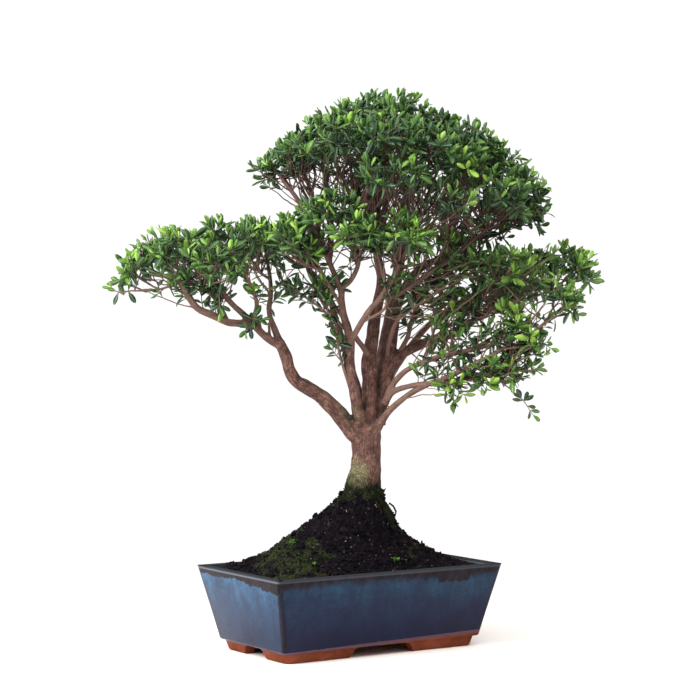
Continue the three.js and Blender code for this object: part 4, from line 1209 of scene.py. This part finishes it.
# where each spray's middle sits, as [right, away, up, size]
SPRAYS = {
  "crown": [
    [-84, -12, 560, 0.72], [-58, 12, 582, 0.85], [-20, -28, 603, 1], [20, 14, 625, 1],
    [58, -18, 620, 1], [98, 20, 608, 1], [136, -14, 592, 1], [170, 16, 569, 1],
    [200, -10, 540, 1], [206, 26, 511, 0.8],
    [-48, -60, 574, 0.9], [-6, -84, 587, 1], [42, -94, 592, 1], [88, -86, 583, 1],
    [130, -74, 560, 1], [174, -60, 528, 1], [46, -118, 542, 1], [112, -102, 514, 0.9],
    [-46, 64, 572, 0.9], [-4, 90, 598, 1], [46, 94, 604, 1], [96, 86, 592, 1],
    [142, 66, 566, 1], [180, 56, 524, 0.9], [34, 118, 544, 1], [112, 108, 522, 1],
  ],
  "left": [
    [-248, -56, 440, 0.62], [-223, -18, 463, 0.92], [-194, -62, 466, 0.95], [-188, 24, 452, 0.9],
    [-152, -88, 452, 0.95], [-146, -20, 474, 1], [-142, 52, 456, 0.9], [-102, -52, 472, 0.95],
    [-104, 14, 476, 1], [-62, -78, 472, 0.85], [-58, 50, 478, 0.9],
  ],
  "middle": [[-26, -84, 506, 1], [16, -100, 482, 0.85], [62, -104, 484, 0.8]],
  "right": [
    [264, -6, 445, 0.85], [232, 36, 446, 0.9], [244, -40, 410, 0.7], [194, -22, 440, 0.95],
    [186, -60, 451, 0.55], [150, -34, 450, 0.75], [190, 84, 428, 0.9], [150, 60, 452, 0.9],
    [92, -46, 470, 0.75], [184, -40, 378, 0.8], [194, -40, 326, 0.55], [158, -42, 322, 0.6],
    [112, -22, 384, 0.55], [168, 12, 416, 0.8], [120, -40, 308, 0.6], [208, -46, 354, 0.58],
    [118, 66, 412, 0.8],
  ],
}
PAD_CENTRES = {
  "crown": [60, 8, 500],
  "left": [-150, -15, 420],
  "middle": [20, -40, 440],
  "right": [150, 5, 390],
}

TWIG_WIDTH = 2.6
ROOTED = 3
TUFTS = 22  # leafy shoot tips in a spray of full size
SPRAY_REACH = np.array([31, 28, 20])
LOWEST_RAY = {"crown": 0.02, "left": -0.12, "middle": -0.1, "right": -0.05}
# the share of its shoots that a thinner spray has, and how high up the lowest of them points
THIN = {
  "crown": {
    1: (0.9, 0.1), 2: (0.8, 0.35), 11: (0.35, 0.45), 19: (0.5, 0.4), 15: (0.75, 0.15),
    16: (0.75, 0.1), 17: (0.55, 0.1), 18: (0.35, 0.1), 12: (0.8, 0.2), 24: (0.7, 0.1),
    26: (0.6, 0.1),
  },
  "right": {
    2: (0.75, -0.05), 3: (0.75, -0.05), 4: (0.7, 0.0), 5: (0.6, 0.1), 6: (0.45, 0.0), 7: (0.5, 0.0),
    8: (0.4, 0.0), 9: (0.45, 0.0), 10: (0.6, 0.0), 11: (0.5, 0.0), 12: (0.5, 0.0), 13: (0.35, 0.0),
    14: (0.4, 0.0), 15: (0.5, 0.1), 16: (0.45, 0.0), 17: (0.4, 0.0),
  },
}
LEAF_LENGTHS = (12.5, 16.5, 18.5, 18)  # mm, from a twig's last pair of leaves downwards
LEAF_YOUTH = (0.26, 0.06, -0.14, -0.25)  # how much yellower each pair is
LEAF_SLIM = (0.3, 0.43)  # width over length
SHED = 0.14  # the share of leaves that have dropped
FIRST_OPENING, MORE_OPENING, OPENING_VARIES = 26, 19, 14  # degrees between leaf and twig
TIPS_APART = 9.2  # mm between the shoot tips of a spray
# how much yellower and lighter each pad's leaves are made: painted light on the right pad, whose leaves glow
# against the white, and painted shade on the crown
PAD_PAINTED_LIGHT = {"crown": -0.09, "left": 0.0, "middle": 0.03, "right": 0.19}
TIP_RADIUS = 0.42
rng = np.random.default_rng(23)


def unit(direction):
    return direction / max(np.linalg.norm(direction), 1e-9)


LEFT_WOOD = ("left_", "fan_", "hang_")
joint_at, joint_root, joint_width, joint_left = [], [], [], []
for name, points in LIMBS.items():
    for before, here in zip(points, points[1:]):
        at, back = np.array(here[:3], float), np.array(before[:3], float)
        joint_at.append(at)
        joint_root.append(at + unit(back - at) * ROOTED)
        joint_width.append(here[3])
        joint_left.append(name.startswith(LEFT_WOOD))
joint_at, joint_root, joint_width = np.array(joint_at), np.array(joint_root), np.array(joint_width)
joint_left = np.array(joint_left)


def reach_cost(middle, pad):
    """A twig rather starts close by, from below, from wood stouter than itself and of its own pad."""
    distance = np.linalg.norm(joint_at - middle, axis=1)
    rise = middle[2] - joint_at[:, 2]
    clear = 14 if middle[2] > 340 else -4
    low = np.maximum(clear - rise, 0) * 3
    close = np.maximum(36 - distance, 0) * 3
    strange = joint_left * (pad == "crown") * 200
    return distance + low + close + strange + (joint_width < TWIG_WIDTH) * 20


twig_lines = []  # each one rows of [right, away, up, width]
leaf_beds = {}  # for each spray, its leaves as (place, direction, upper side, length, width, youth)


def wavy(points, step=5.0, amount=0.8):
    """A line through the points that wanders a little, as a twig does."""
    rows = flow(points, step)
    for i in range(1, len(rows) - 1):
        rows[i, :3] += np.array(noise.noise_vector(Vector(rows[i, :3]) / 8)) * amount
    return rows


def leaf_pairs(bed, rows, pairs, youth, scale=1.0, gap=4.6, facing=(0, 0, 0)):
    """Opposite pairs of leaves down a twig from its tip, each pair a quarter turn from the last."""
    spots = rows[:, :3]
    lengths = np.concatenate([[0], np.cumsum(np.linalg.norm(np.diff(spots[::-1], axis=0), axis=1))])
    turn = rng.uniform(0, math.pi)
    for pair in range(pairs):
        run = pair * gap * rng.uniform(0.8, 1.2)
        if run > lengths[-1]:
            break
        spot = np.array([np.interp(run, lengths, spots[::-1, axis]) for axis in range(3)])
        further = np.array([np.interp(run + 2, lengths, spots[::-1, axis]) for axis in range(3)])
        axis = unit(spot - further) if run + 2 <= lengths[-1] else unit(spots[-1] - spots[-2])
        across = unit(np.cross(axis, (0.31, 0.17, 0.93)))
        beside = np.cross(axis, across)
        turn += math.pi / 2 + rng.normal() * 0.25
        for half in (0, math.pi):
            if rng.random() < SHED:
                continue
            opening = math.radians(FIRST_OPENING + MORE_OPENING * pair + rng.normal() * OPENING_VARIES)
            around = turn + half + rng.normal() * 0.2
            out = math.cos(around) * across + math.sin(around) * beside
            direction = unit(math.cos(opening) * axis + math.sin(opening) * out + (0, 0, 0.12))
            lit = axis + np.array(facing)
            upper = unit(lit - direction * lit.dot(direction) + rng.normal(size=3) * 0.3)
            long = LEAF_LENGTHS[min(pair, 3)] * rng.uniform(0.8, 1.17) * scale
            wide = long * rng.uniform(*LEAF_SLIM)
            fresh = youth + LEAF_YOUTH[min(pair, 3)] + rng.normal() * 0.1
            bed.append((spot, direction, upper, long, wide, min(max(fresh, 0), 1)))


def tuft_spots(size, count, lowest):
    """Where the shoot tips of a spray stand, in its own axes, well apart."""
    found = []
    for _ in range(6000):
        ray = unit(rng.normal(size=3))
        if ray[2] < lowest:
            continue
        reach = rng.uniform(0.82, 1.12) if rng.random() < 0.8 else rng.uniform(0.35, 0.82)
        spot = ray * SPRAY_REACH * size * reach
        if all(np.linalg.norm(spot - other[0]) > TIPS_APART * size for other in found):
            found.append((spot, ray, reach))
        if len(found) == count:
            break
    return found


def grow_spray(pad, number, right, away, up, size):
    """One spray: its bearing twig, the shoots that branch off it and their leaves."""
    name = f"{pad}_spray_{number:02d}"
    middle = np.array([right, away, up], float)
    outward = unit(unit(middle - PAD_CENTRES[pad]) + (0, 0, 0.6))
    joint = int(np.argmin(reach_cost(middle, pad)))
    lift = unit(unit(middle - joint_at[joint]) + outward)
    start = middle - lift * 24 * size
    length = np.linalg.norm(joint_at[joint] - start)
    bend = (joint_root[joint] + start) / 2 - lift * 0.08 * length
    width = min(joint_width[joint] * 0.9, TWIG_WIDTH + 1)
    twig_lines.append(
        wavy(
            [
                (*joint_root[joint], width),
                (*bend, (width + TWIG_WIDTH) / 2),
                (*start, TWIG_WIDTH),
                (*(middle - lift * 12 * size), TWIG_WIDTH * 0.85),
            ]
        )
    )
    share, lowest = THIN.get(pad, {}).get(number, (1, LOWEST_RAY[pad]))
    side = unit(np.array([1, 0.2, 0]) - outward * outward[0])
    axes = np.stack([side, np.cross(outward, side), outward], 1)
    hubs = [(start, lift), (middle - lift * 12 * size, lift)]
    parents = [-1, 0]
    tips = sorted(
        [
            (middle + axes @ spot, axes @ ray, reach)
            for spot, ray, reach in tuft_spots(size, round(TUFTS * size * share), lowest)
        ],
        key=lambda tip: np.linalg.norm(tip[0] - start),
    )
    for spot, ray, reach in tips:
        costs = []
        for hub, aim in hubs:
            leg = spot - hub
            far = np.linalg.norm(leg)
            costs.append(far * (1.6 - 0.6 * leg.dot(aim) / max(far, 1e-6)) + (12 if far < 7 else 0))
        parent = int(np.argmin(costs))
        parents.append(parent)
        hubs.append((spot, unit(spot - hubs[parent][0] + 8 * outward + (0, 0, 6))))
    load = np.ones(len(hubs))
    for i in range(len(hubs) - 1, 0, -1):
        load[parents[i]] += load[i]
    bed = leaf_beds.setdefault(name, [])
    for i in range(2, len(hubs)):
        from_spot, aim = hubs[parents[i]]
        spot, last = hubs[i]
        _, ray, reach = tips[i - 2]
        far = np.linalg.norm(spot - from_spot)
        knee = from_spot + aim * far * 0.42 + unit(spot - from_spot) * far * 0.1
        wide = 2 * TIP_RADIUS * load[i] ** 0.36
        tip_way = unit(unit(ray * 0.8 + last * 0.7 + np.array([0, 0, 0.45])) + rng.normal(size=3) * 0.22)
        rows = wavy(
            [
                (*from_spot, wide * 1.1),
                (*knee, wide),
                (*(spot - tip_way * min(5, far * 0.25)), wide * 0.8),
                (*(spot + tip_way * 3), 2 * TIP_RADIUS * 0.8),
            ],
            step=4.5,
            amount=0.5,
        )
        twig_lines.append(rows)
        shell = (reach - 0.4) / 0.7
        light = 0.5 + 0.5 * ray.dot(outward)
        youth = 0.02 + PAD_PAINTED_LIGHT[pad] + 0.62 * shell * (0.45 + 0.55 * light) + rng.normal() * 0.12
        leaf_pairs(bed, rows, 4 if far > 15 else 3, youth)


def side_twigs(pad, number, right, away, up, size, count):
    """More fine twigs that rise from the branches into the same spray."""
    bed = leaf_beds[f"{pad}_spray_{number:02d}"]
    middle = np.array([right, away, up], float)
    outward = unit(unit(middle - PAD_CENTRES[pad]) + (0, 0, 0.6))
    for _ in range(count):
        target = middle + outward * rng.uniform(-20, 4) + rng.uniform(-28, 28, 3) * (1, 1, 0.3)
        joint = int(np.argmin(reach_cost(target, pad) * rng.uniform(0.75, 1.6, len(joint_at))))
        lift = unit(unit(target - joint_at[joint]) + outward * 0.8)
        far = np.linalg.norm(target - joint_root[joint])
        wide = min(joint_width[joint] * 0.7, rng.uniform(1.2, 2.4))
        bend = (joint_root[joint] + target) / 2 - lift * 0.1 * far
        rows = wavy(
            [
                (*joint_root[joint], wide),
                (*(bend + rng.normal(size=3) * 1.8), wide * 0.8),
                (*target, 1.0),
            ],
            step=6,
            amount=1.4,
        )
        twig_lines.append(rows)
        leaf_pairs(bed, rows, int(rng.integers(1, 3)), 0.05 + PAD_PAINTED_LIGHT[pad], 0.9, gap=7)


for pad, sprays in SPRAYS.items():
    for number, spray in enumerate(sprays, 1):
        grow_spray(pad, number, *spray)
for pad, sprays in SPRAYS.items():
    for number, spray in enumerate(sprays, 1):
        side_twigs(pad, number, *spray, 13 if pad == "crown" else 9)

# close ranks of fine twigs that rise to a spray's underside, seen between the leaves: the box of
# their tips as low and high [right, away, up], which way they point, how long, how many
RANKS = [
    ((-78, -52, 566), (-34, -22, 586), (-0.4, 0, 1), (35, 70), 14),
    ((-34, -76, 572), (44, 50, 596), (0.0, 0, 1), (70, 120), 66),
    ((44, -80, 536), (150, 50, 585), (0.35, 0, 1), (60, 110), 92),
    ((150, -60, 505), (190, 40, 530), (0.6, 0, 1), (28, 55), 22),
    ((100, -50, 405), (235, 60, 465), (1.0, 0, 0.62), (45, 105), 76),
    ((130, -60, 325), (205, 10, 378), (1.0, 0, 0.5), (35, 80), 22),
]
wood_rows = np.vstack(
    [rows for name, rows in centre_lines.items() if name in LIMBS and not name.startswith(LEFT_WOOD)]
)
bed = leaf_beds.setdefault("single_shoots", [])
for low, high, way, reach, count in RANKS:
    for _ in range(count):
        tip = rng.uniform(low, high)
        lean = unit(np.array(way) + rng.normal(size=3) * 0.22)
        aim = tip - lean * rng.uniform(*reach)
        apart = np.linalg.norm(wood_rows[:, :3] - aim, axis=1) * rng.uniform(0.85, 1.2, len(wood_rows))
        apart += np.maximum(wood_rows[:, 2] - aim[2] + 8, 0) * 3 * (way[2] == 1)
        root = wood_rows[int(np.argmin(apart))]
        wide = min(root[3] * 0.7, rng.uniform(1.0, 2.1))
        rows = wavy(
            [
                (*root[:3], wide),
                (*(aim * 0.72 + tip * 0.28 + rng.normal(size=3) * 1.3), wide * 0.85),
                (*(aim * 0.3 + tip * 0.7 + rng.normal(size=3) * 1.3), wide * 0.7),
                (*tip, 0.8),
            ],
            step=7,
            amount=1.2,
        )
        twig_lines.append(rows)
        leaf_pairs(bed, rows, int(rng.integers(1, 4)), rng.uniform(0.02, 0.4), 0.85, gap=7)

# a few long shoots that stand or hang clear of the sprays
LONE = [
    [[172, -40, 316, 2], [188, -42, 303, 1.6], [200, -44, 292, 1.3], [211, -46, 276, 0.9]],
    [[176, -42, 343, 1.8], [196, -44, 338, 1.4], [213, -46, 330, 0.9]],
    [[196, -42, 371, 1.8], [214, -46, 364, 1.4], [231, -48, 353, 0.9]],
    [[-215, -61, 421, 2.4], [-250, -58, 419, 2.0], [-263, -59, 417, 1.6], [-273, -61, 421, 0.9]],
    [[-108, -46, 381, 1.8], [-113, -56, 379, 1.5], [-120, -62, 372, 1.0]],
    [[-114, -48, 384, 1.8], [-110, -58, 387, 1.4], [-102, -64, 386, 1.0]],
    [[-152, -62, 424, 1.8], [-149, -72, 411, 1.4], [-148, -74, 394, 0.9]],
]
for route in LONE:
    rows = wavy([tuple(row) for row in route], step=5)
    twig_lines.append(rows)
    leaf_pairs(bed, rows, 6, 0.36, 0.86, gap=5.5, facing=(0, -1.6, 0.8))

# single leafy shoots along the slimmer branches: name, the mm of branch to one shoot, from what height
SHOOTS = {
    "hang_twig": (9, 330), "fan_one": (10, 395), "fan_two": (10, 400), "fan_three": (10, 410),
    "crossing": (13, 400), "crossing_twig": (9, 400), "stem_left_fork": (10, 430),
    "left_fork_up": (14, 395), "left_fork_up_side": (12, 430), "left_fork_out": (14, 400),
    "left_low": (14, 385), "left_low_back": (12, 395), "left_tip": (10, 405), "left_rise": (12, 400),
    "crown_left": (26, 530), "crown_left_inner": (26, 535), "crown_left_stem": (30, 560),
    "raking": (9, 385), "raking_upper": (11, 415), "right_limb": (11, 372), "right_limb_fork": (9, 365),
    "right_limb_up": (9, 385), "right_limb_rise": (9, 370), "right_limb_end": (9, 400),
    "right_upper": (8, 330), "right_middle": (8, 312), "right_low": (9, 300), "right_low_tuft": (6, 300),
    "crown_right_low": (9, 465), "crown_right_out": (12, 515), "crown_right_up": (13, 490),
    "crown_right_back": (12, 470), "crown_front_left": (12, 480), "crown_middle_front": (12, 500),
    "crown_stem": (20, 470), "back_left": (18, 400), "back_middle": (20, 430), "back_right": (14, 370),
    "back_crown": (14, 470), "stem_left_up": (26, 400), "stem_right": (26, 450),
}  # fmt: skip
for limb, (apart, lowest) in SHOOTS.items():
    rows = centre_lines[limb]
    for i in range(2, len(rows) - 1):
        if rows[i, 2] < lowest or rng.random() > SAMPLE / apart:
            continue
        along = unit(rows[i + 1, :3] - rows[i - 1, :3])
        out = unit(np.cross(along, rng.normal(size=3)))
        way = unit(along * 0.7 + out + (0, 0, 0.5))
        long = rng.uniform(9, 26)
        from_spot = rows[i, :3]
        shoot = wavy(
            [
                (*from_spot, 1.5),
                (*(from_spot + way * long * 0.5 + along * 2), 1.2),
                (*(from_spot + way * long + np.array([0, 0, long * 0.2])), 0.8),
            ],
            step=4.5,
            amount=0.6,
        )
        twig_lines.append(shoot)
        pairs, youth, scale = int(rng.integers(3, 6)), rng.uniform(0.1, 0.5), rng.uniform(0.75, 1.05)
        leaf_pairs(bed, shoot, pairs, youth, scale, gap=5)

twigs = Stock()
twig_girth = []
for rows in twig_lines:
    spots, radii = in_frame(rows)
    sides = 5 if radii[0] > 0.8 * MM else 4
    corners, faces = tube(spots, radii, sides)
    twigs.add(corners, faces)
    twig_girth.append(np.repeat(radii, sides))
twig_spots = np.vstack(twigs.spots)
fine_twigs = object_from(
    "fine_twigs",
    twig_spots,
    twigs.faces,
    bark,
    {"grain": twig_spots * (1, 1, 0.3), "girth": np.concatenate(twig_girth)},
)


# The foliage: small stiff glossy leaves, 12 to 22 mm long, in crosswise pairs at the twigs' ends.
# Bright yellow-green where newly grown outside, deep green within. One piece stands for each spray.

LEAF_STATIONS = (0.0, 0.18, 0.42, 0.67, 0.89, 1.0)
LEAF_OUTLINE = (0.0, 0.38, 0.86, 1.0, 0.66, 0.0)
LEAF_THICK = 0.035  # parts of the leaf's length

bpy.ops.object.select_all(action="DESELECT")
bpy.ops.mesh.primitive_grid_add(x_subdivisions=5, y_subdivisions=2, size=1)
leaf = bpy.context.object
start_on(leaf)
bpy.ops.mesh.select_all(action="SELECT")
bpy.ops.mesh.duplicate()
bpy.ops.mesh.flip_normals()
bpy.ops.transform.translate(value=(0, 0, -0.5))
bpy.ops.object.mode_set(mode="OBJECT")
for vertex in leaf.data.vertices:
    station = round((vertex.co.x + 0.5) * 5)
    under = vertex.co.z < -0.25
    across = vertex.co.y * LEAF_OUTLINE[station]
    middle = abs(vertex.co.y) < 0.1 and 0 < station < 5
    vertex.co = (LEAF_STATIONS[station], across, -LEAF_THICK * under * middle)
start_on(leaf)
bpy.ops.mesh.select_all(action="SELECT")
bpy.ops.mesh.remove_doubles(threshold=0.001)
bpy.ops.mesh.normals_make_consistent(inside=False)
bpy.ops.object.mode_set(mode="OBJECT")
leaf_spots, leaf_faces = shape_of(leaf)
leaf_up = [face.normal.z > 0 for face in leaf.data.polygons]
bpy.data.objects.remove(leaf)
leaf_uv = np.array(
    [
        (leaf_spots[i, 0], leaf_spots[i, 1] / 2 + (0.25 if top else 0.75))
        for face, top in zip(leaf_faces, leaf_up)
        for i in face
    ]
)

# Myrtle leaf: a waxy green skin, glossy above and duller and paler below, with one fine midrib.
leaf_green, tree, shader = new_material("waxy_myrtle_leaf")
place = add_node(tree, "TexCoord")
youth = of_mesh(tree, "youth")
mottle = grains(tree, place.outputs["Object"], 5 * MM, 3.0)
fresh = maths(tree, "MULTIPLY_ADD", mottle, 0.16, youth)
upper = ramp(
    tree,
    fresh,
    (0.02, "#172C24"),
    (0.2, "#213D2C"),
    (0.4, "#2F5029"),
    (0.6, "#476E2A"),
    (0.8, "#658F32"),
    (1.0, "#8CB443"),
)
blade = add_node(tree, "SeparateXYZ", {0: add_node(tree, "UVMap", uv_map="leaf").outputs[0]})
below = maths(tree, "GREATER_THAN", blade.outputs["Y"], 0.5)
below = maths(tree, "MULTIPLY", below, 0.45)
colour = mix(tree, below, upper, "#56743F")
rib = maths(tree, "SUBTRACT", blade.outputs["Y"], 0.25)
rib = maths(tree, "ABSOLUTE", rib)
rib = spread(tree, rib, 0.012, 0.035, 0.5, 0.0)
colour = mix(tree, rib, colour, "#7E9A50")
feed(tree, shader, {"Base Color": colour})
gloss = spread(tree, mottle, 0.3, 0.7, 0.28, 0.46)
feed(tree, shader, {"Roughness": gloss, "Specular IOR Level": 0.4})
bump = add_node(tree, "Bump", {"Height": mottle, "Strength": 0.2, "Distance": 0.5 * MM}).outputs[0]
feed(tree, shader, {"Normal": bump})

turn = np.array([[FRONT_COS, FRONT_SIN, 0], [-FRONT_SIN, FRONT_COS, 0], [0, 0, 1]])
for name, bed in leaf_beds.items():
    count = len(bed)
    root, ahead, top, long, wide, youth_row = (np.array(column) for column in zip(*bed))
    spots, _ = in_frame(np.hstack([root, np.ones((count, 1))]))
    ahead, top = ahead @ turn.T, top @ turn.T
    side = np.cross(top, ahead)
    side /= np.linalg.norm(side, axis=1)[:, None]
    top = np.cross(ahead, side)
    long, wide = long * MM, wide * MM
    fold = rng.uniform(0.04, 0.34, count)
    droop = rng.normal(0.16, 0.14, count)
    local = leaf_spots[None] * np.stack([long, wide, long], 1)[:, None]
    local[:, :, 2] += fold[:, None] * np.abs(local[:, :, 1])
    local[:, :, 2] -= (droop / long)[:, None] * local[:, :, 0] ** 2
    turns = np.stack([ahead, side, top], 2)
    corners = (np.einsum("nij,nvj->nvi", turns, local) + spots[:, None]).reshape(-1, 3)
    step = len(leaf_spots)
    faces = [tuple(i + step * n for i in face) for n in range(count) for face in leaf_faces]
    youth_row = np.repeat(youth_row, step)
    piece = object_from(f"leaves_{name}", corners, faces, leaf_green, {"youth": youth_row})
    piece.data.uv_layers.new(name="leaf").data.foreach_set("uv", np.tile(leaf_uv, (count, 1)).ravel())
    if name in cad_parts:
        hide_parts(name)


# What lies and grows on the soil: bits of dead root and bark, pale root fibres, two twig stubs,
# and a few seedlings, each a short stalk with small leaves. All of it is pressed or rooted in.

# as seen from the front: how far right and how high, in mm
SEEDLINGS = [(53, 100, 1.15), (-41, 95, 0.9), (-68, 121, 0.9), (-60, 108, 0.6), (66, 101, 0.6)]
STUBS = [(84, 117, 9), (90, 113, 7)]
FIBRES = 190
DARK_SHARE = 0.84  # the rest are pale
FIBRES_REACH = (135 * MM, 73 * MM)
FIBRE_TAPER = np.array([0.6, 1, 1, 1, 0.9, 0.5])
ground = BVHTree.FromObject(soil, bpy.context.evaluated_depsgraph_get())
eye = camera.location


def seen_ground(right, up):
    """The place on the soil that shows at this point of the front view."""
    aim = placed(right, 0, up) - eye
    return ground.ray_cast(eye, aim.normalized())[0]


litter = Stock()
litter_tone = []


def lay(spots, radii, tone, sides=4):
    corners, faces = tube(np.array(spots), np.array(radii), sides)
    litter.add(corners, faces)
    litter_tone.extend([tone] * len(corners))


for index, i in enumerate(scattered(FIBRES, ground_areas * steepness)):
    spot, normal = ground_spots[i], ground_normals[i]
    if abs(spot[0] - POT_X) > FIBRES_REACH[0] or abs(spot[1] - POT_Y) > FIBRES_REACH[1]:
        continue
    way = unit(np.cross(normal, rng.normal(size=3)))
    bow = np.cross(normal, way) * rng.uniform(-0.5, 0.5) + normal * rng.uniform(0.05, 0.35)
    dark = index < FIBRES * DARK_SHARE
    long = rng.uniform(4, 15) * MM * (1 if dark else 0.6)
    steps = np.linspace(-0.5, 0.5, 6)
    line = [spot + way * long * s + bow * long * (0.25 - s * s) + normal * 0.6 * MM for s in steps]
    thick = rng.uniform(0.14, 0.3) * MM * (1 if dark else 0.95)
    lay(line, thick * FIBRE_TAPER, rng.uniform(0, 0.5) if dark else 1.0)
for right, up, tall in STUBS:
    base = np.array(seen_ground(right, up))
    lean = np.array([rng.normal() * 0.12, 0, 1])
    line = [base + lean * tall * MM * s for s in (-0.3, 0.3, 0.7, 1)]
    lay(line, [1.1 * MM, 1.0 * MM, 1.2 * MM, 0.7 * MM], 0.1, 6)
# the hooked root on the right, the red-brown one beside it, and the ends of two at the trunk's foot
for route, thick, tone in (
    ([(46, 170), (51, 166), (54, 160), (53, 154)], 1.1, 0.15),
    ([(30, 172), (32, 167), (36, 162), (37, 157)], 0.9, 0.45),
    ([(36, 186), (40, 185), (42, 187)], 1.0, 0.1),
    ([(2, 186), (-4, 185), (-8, 187)], 1.1, 0.1),
):
    line = []
    for right, up in route:
        hit = seen_ground(right, up)
        line.append(np.array(hit if hit else placed(right, 0, up)))
    lay(line, [thick * MM] * (len(line) - 1) + [thick * 0.5 * MM], tone, 6)

# Dead root and bark: matt fibre, from near black where wet to straw where it has dried.
dead_fibre, tree, shader = new_material("dead_root_fibre")
place = add_node(tree, "TexCoord")
grain_noise = grains(tree, place.outputs["Object"], 2 * MM, 3.0)
tone = of_mesh(tree, "tone")
tone = maths(tree, "MULTIPLY_ADD", grain_noise, 0.2, tone)
colour = ramp(tree, tone, (0.1, "#0C0808"), (0.5, "#2C1E1A"), (0.78, "#6E4034"), (0.98, "#B8A68E"))
feed(tree, shader, {"Base Color": colour, "Roughness": 0.85, "Specular IOR Level": 0.2})
spots = np.vstack(litter.spots)
fibres = object_from("root_fibres_and_stubs", spots, litter.faces, dead_fibre, {"tone": litter_tone})

# the seedlings' leaves are shaped like the tree's own, only smaller and rounder
stalks, blades = Stock(), Stock()
for right, up, size in SEEDLINGS:
    base = np.array(seen_ground(right, up))
    for _ in range(3):
        way = unit(np.array([*rng.normal(size=2) * 0.55, 1.0]))
        long = rng.uniform(2.5, 5.5) * size * MM
        line = np.array([base + way * long * s for s in (-0.3, 0.4, 1)])
        stalks.add(*tube(line, np.full(3, 0.3 * MM), 4))
        start_turn = rng.uniform(0, math.pi)
        for turn in (0, math.pi / 2, math.pi, 1.5 * math.pi):
            out = np.array([math.cos(start_turn + turn), math.sin(start_turn + turn), 0.35])
            ahead = unit(out)
            side = unit(np.cross((0, 0, 1), ahead))
            axes = np.stack([ahead, side, np.cross(ahead, side)], 1)
            length = rng.uniform(2.6, 4.4) * size * MM
            shape = leaf_spots * (length, length * 0.75, length)
            blades.add(shape @ axes.T + line[-1], leaf_faces)

# Seedlings: soft, thin, bright green leaves.
sprout_green, tree, shader = new_material("soft_seedling_leaf")
place = add_node(tree, "TexCoord")
tint = grains(tree, place.outputs["Object"], 4 * MM)
colour = ramp(tree, tint, (0.3, "#376A1D"), (0.55, "#559328"), (0.75, "#8FBA46"))
feed(tree, shader, {"Base Color": colour, "Roughness": 0.55})
seedlings = Stock()
for stock in (stalks, blades):
    seedlings.add(np.vstack(stock.spots), stock.faces)
sprouts = object_from("seedlings", np.vstack(seedlings.spots), seedlings.faces, sprout_green)

# moss that climbs from the soil onto the foot of the trunk and the surface roots
FOOT_MOSS = 2600
FOOT_LOW, FOOT_HIGH = 150, 226  # mm above the table
foot_spots, foot_normals, foot_areas = faces_of(wood.data)
right, away, up = front_view(foot_spots)
at_foot = (FOOT_LOW < up) & (up < FOOT_HIGH)
patch = np.zeros(len(foot_spots))
patch[at_foot] = [noise.noise(Vector(spot) / (7 * MM)) for spot in foot_spots[at_foot]]
climb = np.clip((214 - (right - TRUNK_RIGHT) * 0.9 - up) / 16 + patch * 2, 0, 1) * (up > FOOT_LOW)
spots, faces, tone = moss_on(foot_spots, foot_normals, foot_areas * climb, FOOT_MOSS, 0.7)
foot_moss = object_from("moss_on_the_foot", spots, faces, moss_green, {"tone": tone * 0.8})
